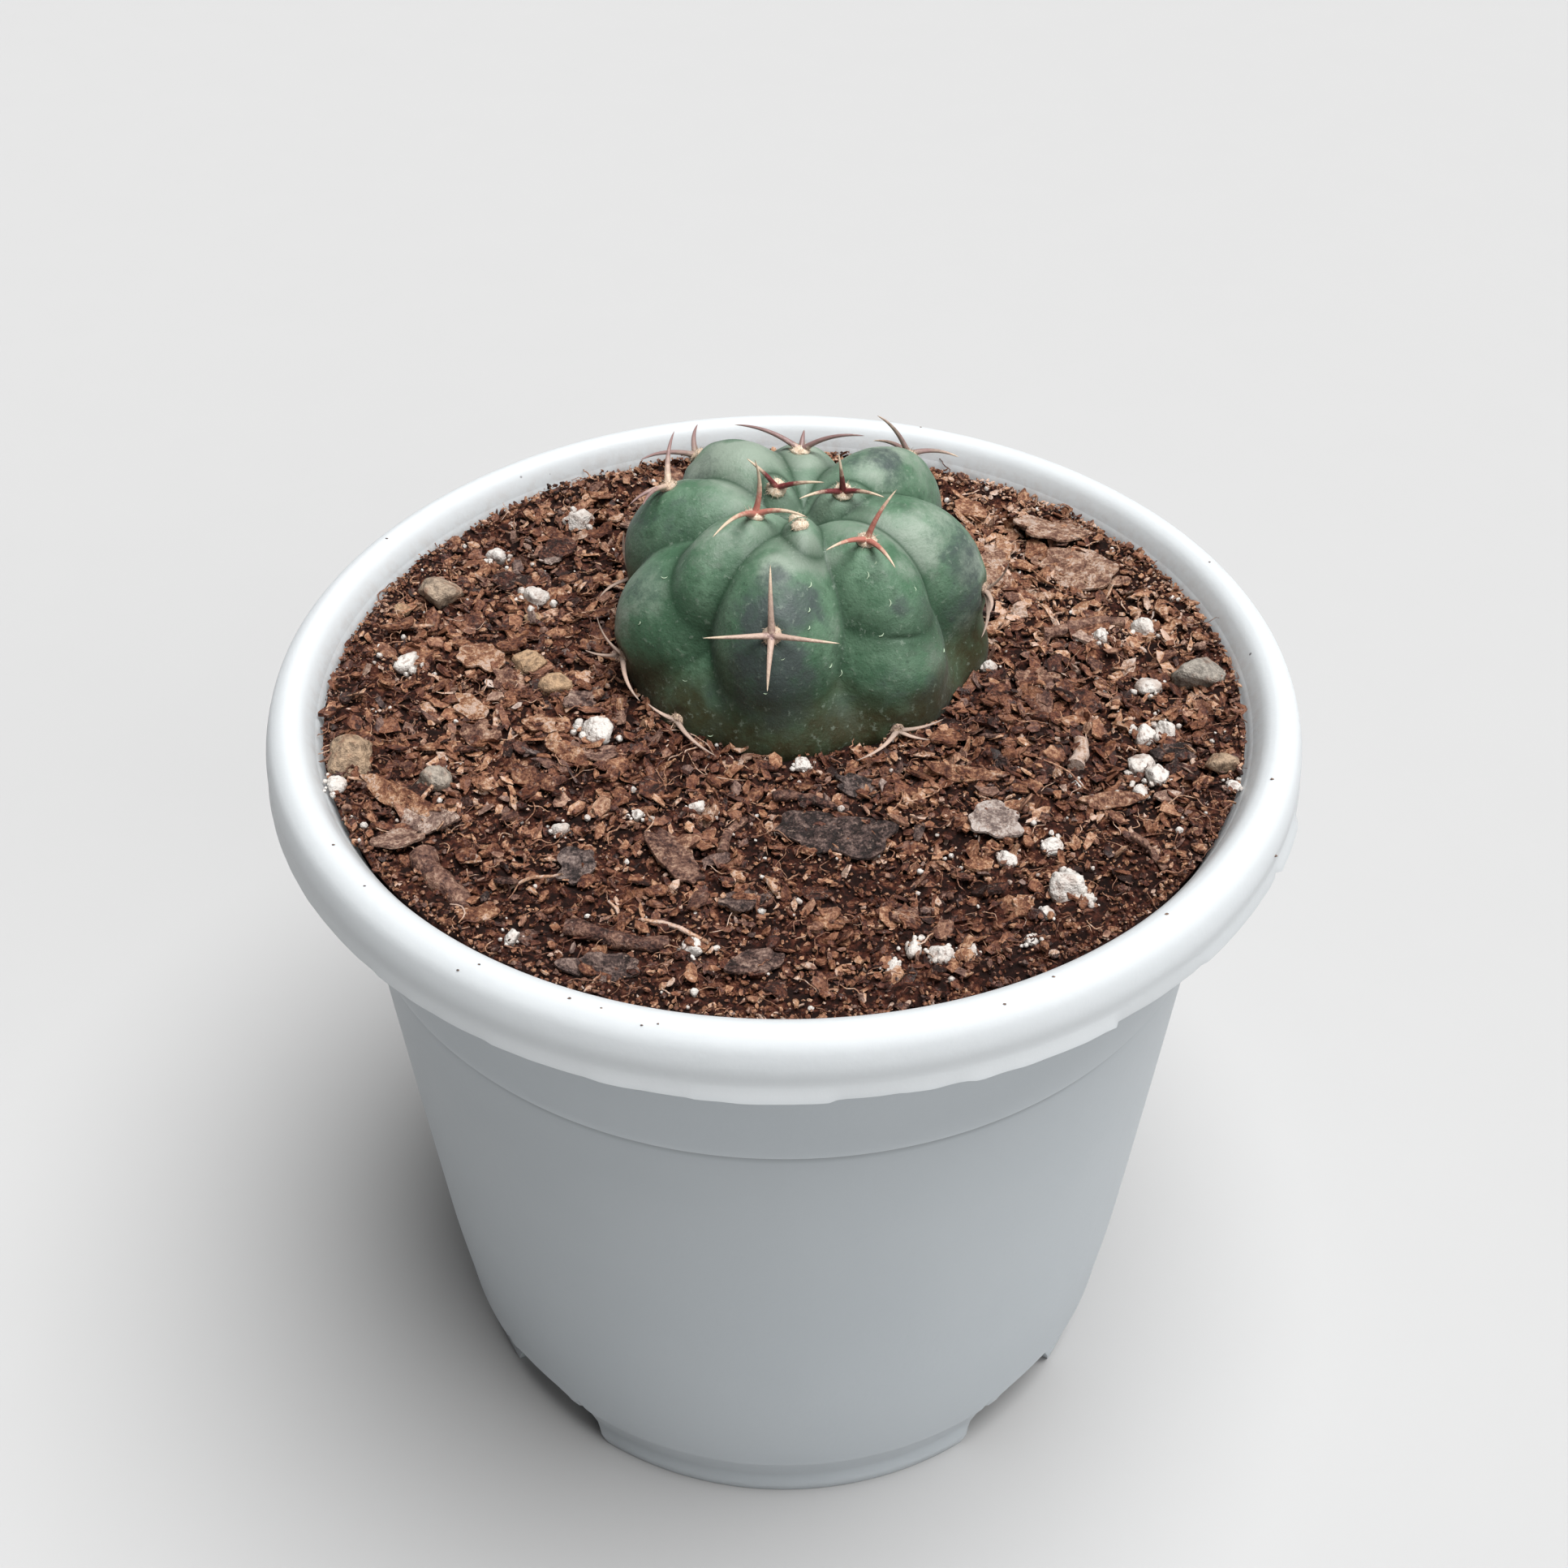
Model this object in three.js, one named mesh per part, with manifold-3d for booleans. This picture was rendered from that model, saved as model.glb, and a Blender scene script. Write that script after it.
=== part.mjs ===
// A young thelocactus in a white moulded nursery pot, filled with a bark and perlite mix.
// Millimetres, +Z up. The origin is the centre of the pot's base; the front faces -Y.

import * as THREE from 'three';
import { mergeVertices } from 'three/addons/utils/BufferGeometryUtils.js';
import Module from 'manifold-3d';

const wasm = await Module();
wasm.setup();

// Driving dimensions of the pot
const RIM_RADIUS = 52.5;
const LIP_RADIUS = 53.15;
const RIM_TOP = 90.95;
const FLOOR_UNDERSIDE = 10.3;
const FLOOR_TOP = 11.5;
const FOOT_OUTER = 38.6;
const FOOT_INNER = 37.2;
const ARCH_ANGLES = [45, 135, 225, 315];
const ARCH_CUT = [33, 45];
const DRAIN_RADIUS = 2.5;
const DRAIN_CIRCLE = 25;
const POT_SIDES = 56;

// Half of an arch between two feet, from under the pot to the crown: half width, height
const ARCH_HALF = [
  [8.4, -1],
  [8.2, 0],
  [7.5, 1.6],
  [6.9, 3.2],
  [6.1, 5.4],
  [5.3, 7.5],
  [4.4, 8.6],
  [3.0, 9.05],
  [0, 9.2],
];

// Outer face of the wall, from the foot over the rolled rim to its lip: radius, height
const WALL_OUTER = [
  [39.4, 7.1],
  [40.3, 7.6],
  [41.6, 19],
  [43.4, 42],
  [45.4, 68.9],
  [45.75, 69.3],
  [46.75, 85],
];
const RIM_UNDERSIDE = [
  [47.2, 88.1],
  [48.4, 89.5],
  [50.1, 89.9],
  [51.5, 88.6],
  [51.9, 86.4],
  [LIP_RADIUS - 0.7, 84.9],
];
const RIM_CROWN = [
  [LIP_RADIUS, 84.9],
  [RIM_RADIUS, 86.5],
  [RIM_RADIUS, 87.8],
  [51.7, 90.0],
  [50.2, RIM_TOP],
  [48.8, 90.6],
];
// Inner face of the wall, from the floor's fillet to the rim: radius, height
const WALL_INNER = [
  [39.6, 12.4],
  [40.5, 19],
  [42.3, 42],
  [44.3, 68.9],
  [45.6, 84],
  [47.9, 89.2],
];

// Driving dimensions of the fill
const CLEAR = 0.45;
const SOIL_LEVEL = 87.1;
const SOIL_RELIEF = 0.8;
const SOIL_RINGS = 11;

// Driving dimensions of the plant
const PLANT_AXIS = [1.6, 9.5];
const PLANT_HEART = 91.5;
const DOME = { radius: 19.4, height: 14.6, power: 2.7 };
const CORE = { radius: 14, height: 10.5 };
const BASE = { radius: 17.9, height: 9, drop: 6 };
const CREASE = 0.35;
const PLANT_COLUMNS = 56;
const ROWS_ABOVE = 20;
const ROWS_BELOW = 6;
const SOIL_ROW_ANGLE = -13.5;
const SOCKET_GAP = 0.8;

// Tubercles: angle round the plant (0 is the front, 90 is +X), angle up the dome,
// half width, half length, half depth, and how far each stands out of the dome
const TUBERCLES = [
  [-10, 20, 7.0, 10.0, 9.5, 0.4],
  [-6, -16, 7.8, 9.5, 9.5, 0.2],
  [2, 76, 2.4, 4.6, 4.5, 0],
  [41, 58, 5.9, 8.8, 8.5, 0],
  [39, 0, 7.5, 9.3, 9.5, 0.5],
  [86, 20, 7.2, 10.0, 9.5, 0.3],
  [84, -14, 7.0, 8.0, 9.5, 0],
  [132, 49, 5.8, 9.5, 9.5, 1.4],
  [132, -8, 7.2, 9.5, 9.5, 0],
  [180, 36, 6.2, 9.5, 9.0, -0.4],
  [180, -6, 7.2, 9.5, 9.5, 0],
  [-145, 50, 6.4, 9.5, 9.5, 1.2],
  [-140, -8, 7.2, 9.5, 9.5, 0],
  [-103, 47, 6.2, 9.0, 9.0, 0.5],
  [-100, -20, 6.8, 8.5, 9.5, 0],
  [-50, 66, 5.0, 8.2, 8.0, 0.2],
  [-65, 5, 7.6, 8.5, 9.5, 0.8],
  [-38, -18, 7.4, 8.5, 9.5, 0],
  [108, 80, 2.8, 3.6, 4.0, -0.6],
  [-143, 82, 2.2, 3.0, 4.0, -1.0],
];

// Areoles: name, angle round the plant, angle up from the plant's heart, age, and the
// spines as [clock angle, length, rise]. The clock angle is 0 towards the crown and grows
// towards the right of a viewer who faces the areole; the rise is above the surface.
const AREOLES = [
  ['front', -9, 27, 'grown', [[-97, 6.7, 14], [91, 6.9, 13], [-5, 7.0, 14], [178, 5.6, 18]]],
  ['right_front', 40, 53, 'young', [[-92, 6.0, 18], [-164, 6.4, 16], [90, 6.0, 58]]],
  ['left_front', -50, 67, 'young', [[155, 10.2, 6], [72, 6.1, 19], [-168, 6.2, 79]]],
  ['crown_left', -135, 76, 'young', [[162, 4.7, 40], [-41, 5.7, 30]]],
  ['crown_right', 100, 72, 'young', [[-16, 5.4, 24], [-138, 5.3, 22], [90, 5.2, 77]]],
  ['left', -105, 42, 'grown', [[-85, 6.7, 35], [126, 4.8, 9], [90, 6.4, 9]]],
  ['back', 179, 51, 'young', [[-71, 7.5, 23], [112, 7.9, 10], [-173, 2.6, 35]]],
  ['back_left', -139, 33, 'grown', [[-108, 4.7, 29], [77, 7.6, 30], [-160, 5.0, 14]]],
  ['back_right', 136, 34, 'grown', [[11, 6.7, 13], [-143, 6.1, 20], [100, 5.6, 14]]],
  ['right', 82, 12, 'old', [[-7, 5.0, 35], [-80, 6.2, 17], [-112, 5.9, 9]]],
  ['left_front_low', -65, 0, 'old', [[-7, 5.8, 11], [-95, 4.8, 39], [102, 6.4, 9]]],
  ['right_front_low', 30, -9, 'old', [[-90, 6.4, 33], [72, 4.9, 14], [88, 3.6, 42]]],
  ['left_front_base', -39, -9, 'old', [[-79, 3.6, 13], [95, 6.9, 12]]],
  ['left_low', -104, 2, 'old', [[-12, 5.4, 22], [86, 5.6, 16], [-90, 5.2, 18]]],
  ['back_right_low', 140, -4, 'old', [[4, 5.2, 20], [-88, 5.8, 16], [90, 5.4, 16]]],
  ['back_low', -176, 2, 'old', [[-6, 5.6, 18], [90, 6.0, 14], [-92, 5.6, 16]]],
  ['back_left_low', -146, -4, 'old', [[8, 5.0, 20], [88, 5.4, 16], [-90, 5.6, 16]]],
];
const PAD_RADIUS = { young: 1.05, grown: 1.0, old: 0.85 };
const PAD_SIDES = 8;
const PAD_HEIGHT = 0.5;
const PAD_SINK = 0.45;
const SOCKET_DEPTH = 0.8;
const SOCKET_REACH = 3;
const SOCKET_MARGIN = 0.32;
const SPINE_RADIUS = { young: 0.5, grown: 0.45, old: 0.38 };
const SPINE_SIDES = 4;
const SPINE_STEPS = 3;
const SPINE_ARC = 0.09;

// Felt tufts with no spines yet: name, angle round the plant, angle up, radius, height
const FELT_TUFTS = [
  ['felt_front', 0, 66, 0.95, 0.75],
  ['felt_crown', -8, 80, 0.8, 1.05],
];

// Larger pieces of the fill that show by themselves. Perlite and pebbles: x, y, radius
const GRAINS = [
  [-23.6, 32.0, 1.6], [-39.6, 4.7, 1.4], [-27.1, 16.6, 1.6], [-18.8, -7.1, 1.8],
  [26.2, -30.0, 1.8], [36.5, -6.8, 1.9], [35.3, -11.6, 1.4], [38.7, 11.0, 1.5],
  [37.9, 1.6, 1.3], [-21.3, -21.2, 1.1], [-8.0, -37.1, 1.2], [14.0, -38.1, 1.2],
  [42.4, 2.8, 2.1], [42.2, -11.8, 1.5],
];
// Bark plates: x, y, half length, half width, turn
const BARK = [
  [29.6, 28.6, 4.4, 2.6, -42], [34.0, 22.5, 4.0, 3.2, -30], [5.0, -22.4, 5.0, 3.0, 4],
  [20.2, -20.1, 2.6, 2.0, 15], [7.5, -15.3, 2.8, 1.5, -20], [-10.2, -25.8, 3.0, 1.6, -60],
  [-15.5, -40.0, 3.2, 1.6, 8], [-36.0, -22.6, 2.4, 1.8, 30], [-36.5, -8.0, 3.0, 2.2, 20],
];
// Twigs and slivers of bark: x, y, length, radius, turn
const TWIGS = [
  [-37.4, -18.6, 9.0, 0.9, -24], [-31.4, -29.2, 8.2, 1.1, -60], [-9.8, -35.8, 6.6, 0.5, -28],
  [-40.0, 10.5, 5.7, 0.45, 0], [-15.2, -33.5, 3.0, 0.45, -65], [29.5, -9.7, 4.8, 0.6, 80],
  [-23.6, -29.4, 6.7, 0.5, 2], [29.0, 9.5, 7.5, 0.6, 12],
];
const LOOSE_CHIPS = 22;
const ROOT_DEPTH = 2.2;

// Materials
const finish = (color, roughness) => new THREE.MeshStandardMaterial({ color, roughness, metalness: 0 });
const MATERIALS = {
  plastic: finish(0xeef3f4, 0.38),
  soil: finish(0x5a3626, 0.95),
  flesh: finish(0x4f7358, 0.6),
  felt: finish(0xe2d3b4, 1.0),
  young: finish(0xb5705a, 0.5),
  grown: finish(0xcbb298, 0.55),
  old: finish(0xa99a86, 0.7),
};

const radians = THREE.MathUtils.degToRad;

// A repeatable stream of numbers from 0 to 1
function randomStream(seed) {
  let state = seed;
  return () => {
    state = (state + 0x6d2b79f5) | 0;
    let mixed = Math.imul(state ^ (state >>> 15), 1 | state);
    mixed = (mixed + Math.imul(mixed ^ (mixed >>> 7), 61 | mixed)) ^ mixed;
    return ((mixed ^ (mixed >>> 14)) >>> 0) / 4294967296;
  };
}

// Welds a geometry by position alone and drops the triangles that collapse at an axis
function weld(geometry) {
  geometry.deleteAttribute('normal');
  geometry.deleteAttribute('uv');
  const welded = mergeVertices(geometry, 1e-4);
  const index = welded.getIndex().array;
  const kept = [];
  for (let i = 0; i < index.length; i += 3) {
    const [a, b, c] = [index[i], index[i + 1], index[i + 2]];
    if (a !== b && b !== c && c !== a) {
      kept.push(a, b, c);
    }
  }
  welded.setIndex(kept);
  return welded;
}

// Turns a closed geometry into a solid that can be cut and joined
function toSolid(geometry) {
  const welded = weld(geometry);
  return new wasm.Manifold(new wasm.Mesh({
    numProp: 3,
    vertProperties: new Float32Array(welded.getAttribute('position').array),
    triVerts: new Uint32Array(welded.getIndex().array),
  }));
}

// Turns a solid back into a geometry
function toGeometry(solid) {
  const mesh = solid.getMesh();
  const positions = new Float32Array(mesh.numVert * 3);
  for (let i = 0; i < mesh.numVert; i += 1) {
    for (let k = 0; k < 3; k += 1) {
      positions[3 * i + k] = mesh.vertProperties[mesh.numProp * i + k];
    }
  }
  const geometry = new THREE.BufferGeometry();
  geometry.setAttribute('position', new THREE.BufferAttribute(positions, 3));
  geometry.setIndex(Array.from(mesh.triVerts));
  return geometry;
}

function joinAll(solids) {
  return solids.reduce((whole, piece) => whole.add(piece));
}

// A sphere's grid of rows and columns, with every vertex put where place(row, angle) says.
// The angle runs round +Z, 0 at the front; the first and last rows are single points.
function wrappedGrid(columns, rows, place) {
  const geometry = new THREE.SphereGeometry(1, columns, rows);
  const position = geometry.getAttribute('position');
  for (let row = 0; row <= rows; row += 1) {
    for (let column = 0; column <= columns; column += 1) {
      const angle = ((column % columns) / columns) * 2 * Math.PI - Math.PI / 2;
      const point = place(row, angle);
      position.setXYZ(row * (columns + 1) + column, point.x, point.y, point.z);
    }
  }
  return geometry;
}

// Unit vectors round the plant: outwards at an angle, and to the right of that
const outward = (angle) => new THREE.Vector3(Math.sin(angle), -Math.cos(angle), 0);
const rightward = (angle) => new THREE.Vector3(Math.cos(angle), Math.sin(angle), 0);
const heart = new THREE.Vector3(PLANT_AXIS[0], PLANT_AXIS[1], PLANT_HEART);

function direction(angle, rise) {
  return outward(angle).multiplyScalar(Math.cos(rise)).setZ(Math.sin(rise));
}

// Each tubercle is an ellipsoid that touches the dome from inside, long way up the rib
const lobes = TUBERCLES.map(([turn, climb, halfWidth, halfLength, halfDepth, stand]) => {
  const angle = radians(turn);
  const rise = radians(climb);
  const reach = DOME.radius * Math.cos(rise) ** (2 / DOME.power);
  const lift = DOME.height * Math.sign(rise) * Math.abs(Math.sin(rise)) ** (2 / DOME.power);
  const slopeOut = (reach / DOME.radius) ** (DOME.power - 1) / DOME.radius;
  const slopeUp = Math.sign(rise) * (Math.abs(lift) / DOME.height) ** (DOME.power - 1) / DOME.height;
  const normal = outward(angle).multiplyScalar(slopeOut).setZ(slopeUp).normalize();
  const across = rightward(angle);
  const along = normal.clone().cross(across).normalize();
  const centre = outward(angle).multiplyScalar(reach).setZ(lift);
  centre.addScaledVector(normal, stand - halfDepth);
  return { centre, axes: [across, along, normal], halves: [halfWidth, halfLength, halfDepth] };
});

// A shape's share of the smooth union: large inside it, fading out over CREASE
const share = (distance) => Math.exp(-THREE.MathUtils.clamp(distance, -12, 30) / CREASE);

// Signed distance, roughly, from the plant's skin: a smooth union of the tubercles, a core
// and a rounded base, where CREASE rounds the grooves between them
function skinField(point) {
  let sum = 0;
  for (const { centre, axes, halves } of lobes) {
    const offset = point.clone().sub(centre);
    const scaled = Math.hypot(...axes.map((axis, k) => offset.dot(axis) / halves[k]));
    sum += share((scaled - 1) * halves[0]);
  }
  const across = Math.hypot(point.x, point.y);
  const core = (Math.hypot(across / CORE.radius, point.z / CORE.height) - 1) * CORE.height;
  const base = (Math.hypot(across / BASE.radius, (point.z + BASE.drop) / BASE.height) - 1) * BASE.height;
  return -CREASE * Math.log(sum + share(core) + share(base));
}

// Distance from the heart to the skin along a unit vector: steps inwards, then halves
const SEARCH_FROM = 26;
const SEARCH_TO = 5;
const HALVINGS = 12;
function skinDistance(unit) {
  let outside = SEARCH_FROM;
  while (outside > SEARCH_TO && skinField(unit.clone().multiplyScalar(outside - 1)) > 0) {
    outside -= 1;
  }
  let inside = outside - 1;
  for (let pass = 0; pass < HALVINGS; pass += 1) {
    const middle = (inside + outside) / 2;
    if (skinField(unit.clone().multiplyScalar(middle)) > 0) {
      outside = middle;
    } else {
      inside = middle;
    }
  }
  return (inside + outside) / 2;
}

// A point on the skin with its normal and the directions across and up the rib
function skinFrame(turn, climb) {
  const angle = radians(turn);
  const unit = direction(angle, radians(climb));
  const local = unit.clone().multiplyScalar(skinDistance(unit));
  const step = 0.05;
  const normal = new THREE.Vector3();
  for (const axis of ['x', 'y', 'z']) {
    const ahead = local.clone();
    const behind = local.clone();
    ahead[axis] += step;
    behind[axis] -= step;
    normal[axis] = skinField(ahead) - skinField(behind);
  }
  normal.normalize();
  const right = rightward(angle);
  right.addScaledVector(normal, -right.dot(normal)).normalize();
  const up = normal.clone().cross(right);
  return { origin: local.add(heart), right, up, normal };
}

function frameMatrix({ origin, right, up, normal }) {
  return new THREE.Matrix4().makeBasis(right, up, normal).setPosition(origin);
}

// Rows of the plant's grid: even steps from the crown to the soil, wider ones below it
function rowRise(row) {
  const above = 90 - (row / ROWS_ABOVE) * (90 - SOIL_ROW_ANGLE);
  const below = SOIL_ROW_ANGLE - ((row - ROWS_ABOVE) / ROWS_BELOW) * (90 + SOIL_ROW_ANGLE);
  return radians(row <= ROWS_ABOVE ? above : below);
}

function plantSkinPoint(row, angle, gap) {
  const unit = direction(angle, rowRise(row));
  return heart.clone().addScaledVector(unit, skinDistance(unit) + gap);
}

// A short prism along the areole's normal, from one depth to another
function areolePrism(frame, radius, bottom, top) {
  const prism = new THREE.CylinderGeometry(radius, radius, top - bottom, PAD_SIDES);
  prism.rotateX(Math.PI / 2).translate(0, 0, (top + bottom) / 2);
  return toSolid(prism.applyMatrix4(frameMatrix(frame)));
}

// A felt cushion: a low dome above the skin and a short plug in the socket below it
function feltCushion(frame, radius, height) {
  const profile = [
    new THREE.Vector2(0, -PAD_SINK),
    new THREE.Vector2(radius * 0.9, -PAD_SINK),
    new THREE.Vector2(radius, 0.05),
    new THREE.Vector2(radius * 0.62, height * 0.8),
    new THREE.Vector2(0, height),
  ];
  const cushion = new THREE.LatheGeometry(profile, PAD_SIDES).rotateX(Math.PI / 2);
  return toSolid(cushion.applyMatrix4(frameMatrix(frame)));
}

// A spine: a slim cone bent along an arc that starts steeper than it ends
function spine([clock, length, rise], frame, radius) {
  const cone = new THREE.ConeGeometry(radius, length, SPINE_SIDES, SPINE_STEPS);
  cone.translate(0, length / 2, 0);
  const heading = frame.up.clone().multiplyScalar(Math.cos(radians(clock)));
  heading.addScaledVector(frame.right, Math.sin(radians(clock)));
  const [level, steep] = [Math.cos(radians(rise)), Math.sin(radians(rise))];
  const along = heading.clone().multiplyScalar(level).addScaledVector(frame.normal, steep);
  const above = frame.normal.clone().multiplyScalar(level).addScaledVector(heading, -steep);
  const side = above.clone().cross(along);
  const position = cone.getAttribute('position');
  for (let i = 0; i < position.count; i += 1) {
    const part = position.getY(i) / length;
    const bow = SPINE_ARC * length * 4 * part * (1 - part);
    const point = frame.origin.clone().addScaledVector(along, position.getY(i));
    point.addScaledVector(above, position.getX(i) + bow).addScaledVector(side, position.getZ(i));
    position.setXYZ(i, point.x, point.y, point.z);
  }
  return toSolid(cone);
}

// The plant's body, with a shallow socket under every areole
function makeBody() {
  const rows = ROWS_ABOVE + ROWS_BELOW;
  let body = toSolid(wrappedGrid(PLANT_COLUMNS, rows, (row, angle) => plantSkinPoint(row, angle, 0)));
  for (const [, turn, climb, age] of AREOLES) {
    const radius = PAD_RADIUS[age] + SOCKET_MARGIN;
    body = body.subtract(areolePrism(skinFrame(turn, climb), radius, -SOCKET_DEPTH, SOCKET_REACH));
  }
  for (const [, turn, climb, radius] of FELT_TUFTS) {
    const frame = skinFrame(turn, climb);
    body = body.subtract(areolePrism(frame, radius + SOCKET_MARGIN, -SOCKET_DEPTH, SOCKET_REACH));
  }
  return toGeometry(body);
}

// One areole: its felt cushion with the spines rooted in it
function makeAreole([, turn, climb, age, spines]) {
  const frame = skinFrame(turn, climb);
  const cushion = feltCushion(frame, PAD_RADIUS[age], PAD_HEIGHT);
  const rooted = spines.map((shape) => spine(shape, frame, SPINE_RADIUS[age]));
  return toGeometry(joinAll([cushion, ...rooted]));
}

function makeFelt([, turn, climb, radius, height]) {
  return toGeometry(feltCushion(skinFrame(turn, climb), radius, height));
}

// The pot's section, from the axis under the floor, out and up the outside, over the rolled
// rim, down the inside and back to the axis on the floor
function potSection() {
  return [
    [0, FLOOR_UNDERSIDE],
    [FOOT_INNER, FLOOR_UNDERSIDE],
    [FOOT_INNER, 0],
    [FOOT_OUTER, 0],
    [FOOT_OUTER + 0.3, 1.3],
    [FOOT_OUTER, 2.6],
    [FOOT_OUTER - 0.1, 3.2],
    ...WALL_OUTER,
    ...RIM_UNDERSIDE,
    ...RIM_CROWN,
    ...WALL_INNER.toReversed(),
    [38.6, FLOOR_TOP],
    [0, FLOOR_TOP],
  ];
}

// An arch between two feet, cut radially
function archCutter(turn) {
  const right = ARCH_HALF.map(([across, height]) => new THREE.Vector2(across, height));
  const left = ARCH_HALF.slice(0, -1).map(([across, height]) => new THREE.Vector2(-across, height));
  const outline = new THREE.Shape([...right, ...left.toReversed()]);
  const [from, to] = ARCH_CUT;
  const cut = { depth: to - from, bevelEnabled: false };
  const cutter = new THREE.ExtrudeGeometry(outline, cut);
  const angle = radians(turn);
  const up = new THREE.Vector3(0, 0, 1);
  const placed = new THREE.Matrix4().makeBasis(rightward(angle), up, outward(angle));
  return toSolid(cutter.applyMatrix4(placed.setPosition(outward(angle).multiplyScalar(from))));
}

function drainCutter(x, y) {
  const drill = new THREE.CylinderGeometry(DRAIN_RADIUS, DRAIN_RADIUS, 4, 12).rotateX(Math.PI / 2);
  return toSolid(drill.translate(x, y, FLOOR_TOP - 0.5));
}

function makePot() {
  const section = potSection().map(([radius, height]) => new THREE.Vector2(radius, height));
  let pot = toSolid(new THREE.LatheGeometry(section, POT_SIDES).rotateX(Math.PI / 2));
  pot = pot.subtract(drainCutter(0, 0));
  for (const turn of ARCH_ANGLES) {
    const drain = outward(radians(turn)).multiplyScalar(DRAIN_CIRCLE);
    pot = pot.subtract(archCutter(turn)).subtract(drainCutter(drain.x, drain.y));
  }
  return toGeometry(pot);
}

// A fixed number from 0 to 1 for each point of a whole-number lattice
function latticeValue(i, j) {
  let mixed = Math.imul(i, 374761393) + Math.imul(j, 668265263);
  mixed = Math.imul(mixed ^ (mixed >>> 13), 1274126177);
  return ((mixed ^ (mixed >>> 16)) >>> 0) / 4294967295;
}

// Smooth noise from -1 to 1 over cells of a given size
function smoothNoise(x, y, cell) {
  const [u, v] = [x / cell, y / cell];
  const [i, j] = [Math.floor(u), Math.floor(v)];
  const [s, t] = [THREE.MathUtils.smoothstep(u - i, 0, 1), THREE.MathUtils.smoothstep(v - j, 0, 1)];
  const near = THREE.MathUtils.lerp(latticeValue(i, j), latticeValue(i + 1, j), s);
  const far = THREE.MathUtils.lerp(latticeValue(i, j + 1), latticeValue(i + 1, j + 1), s);
  return 2 * THREE.MathUtils.lerp(near, far, t) - 1;
}

// The soil's height: lumpy in the open, calmer from the first to the second distance of
// each pair, as it nears the plant or the wall
const CALM_BY_PLANT = [20, 32];
const CALM_BY_WALL = [42, 46.5];
const LUMP_CELLS = [9, 4];
function soilHeight(x, y) {
  const fromPlant = Math.hypot(x - PLANT_AXIS[0], y - PLANT_AXIS[1]);
  const open = THREE.MathUtils.smoothstep(fromPlant, ...CALM_BY_PLANT);
  const edge = THREE.MathUtils.smoothstep(Math.hypot(x, y), ...CALM_BY_WALL);
  const [coarse, fine] = LUMP_CELLS.map((cell) => smoothNoise(x, y, cell));
  return SOIL_LEVEL + SOIL_RELIEF * open * (1 - 0.6 * edge) * (0.6 * coarse + 0.4 * fine);
}

// Radius of the wall's inner face at a height, less the clearance
function fillRadius(height) {
  const upper = WALL_INNER.findIndex(([, level]) => level >= height);
  const [lowRadius, low] = WALL_INNER[upper - 1];
  const [highRadius, high] = WALL_INNER[upper];
  return THREE.MathUtils.mapLinear(height, low, high, lowRadius, highRadius) - CLEAR;
}

// The fill: up the plant's socket, across the top to the wall, down the wall and under
const FILL_LEVELS = [84, 68.9, 42, 19, 12.7];
function fillPoint(row, angle) {
  const edge = outward(angle);
  const top = ROWS_BELOW + SOIL_RINGS;
  if (row < ROWS_BELOW) {
    return plantSkinPoint(ROWS_ABOVE + ROWS_BELOW - row, angle, SOCKET_GAP);
  }
  if (row <= top) {
    const rim = edge.clone().multiplyScalar(fillRadius(SOIL_LEVEL));
    const mouth = plantSkinPoint(ROWS_ABOVE, angle, SOCKET_GAP);
    const point = mouth.clone().lerp(rim, (row - ROWS_BELOW) / SOIL_RINGS);
    const level = row === ROWS_BELOW ? mouth.z : soilHeight(point.x, point.y);
    return point.setZ(level);
  }
  if (row <= top + FILL_LEVELS.length) {
    const level = FILL_LEVELS[row - top - 1];
    return edge.multiplyScalar(fillRadius(level)).setZ(level);
  }
  return new THREE.Vector3(0, 0, FLOOR_TOP + CLEAR);
}

// Stretches a piece's underside down into the fill, so that nothing hollow lies under it
function rooted(geometry) {
  const position = geometry.getAttribute('position');
  for (let i = 0; i < position.count; i += 1) {
    if (position.getZ(i) < -0.01) {
      position.setZ(i, position.getZ(i) - ROOT_DEPTH);
    }
  }
  return geometry;
}

// A grain of perlite or a pebble: a lumpy ball, half sunk
function grain([x, y, radius], random) {
  const ball = new THREE.IcosahedronGeometry(radius, 0);
  ball.rotateX(random() * 3).rotateZ(random() * 6).scale(1, 0.9, 0.8);
  return toSolid(rooted(ball).translate(x, y, soilHeight(x, y) + 0.35 * radius));
}

// A bark plate: a five-sided slab, tipped a little and half sunk
const PLATE_THICKNESS = 1.2;
const PLATE_TIP = 0.08;
function plate([x, y, halfLength, halfWidth, turn], random) {
  const tip = () => PLATE_TIP * (2 * random() - 1);
  const slab = new THREE.CylinderGeometry(1, 1.12, PLATE_THICKNESS, 5).rotateX(Math.PI / 2);
  slab.scale(halfLength, halfWidth, 1);
  rooted(slab).rotateX(tip()).rotateY(tip()).rotateZ(radians(turn));
  return toSolid(slab.translate(x, y, soilHeight(x, y) + PLATE_THICKNESS / 4));
}

// A twig: a slim prism lying on the soil, half sunk
function twig([x, y, length, radius, turn]) {
  const stick = new THREE.CylinderGeometry(radius * 0.8, radius, length, 5).rotateZ(Math.PI / 2);
  rooted(stick).rotateZ(radians(turn));
  return toSolid(stick.translate(x, y, soilHeight(x, y) + 0.5 * radius));
}

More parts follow.
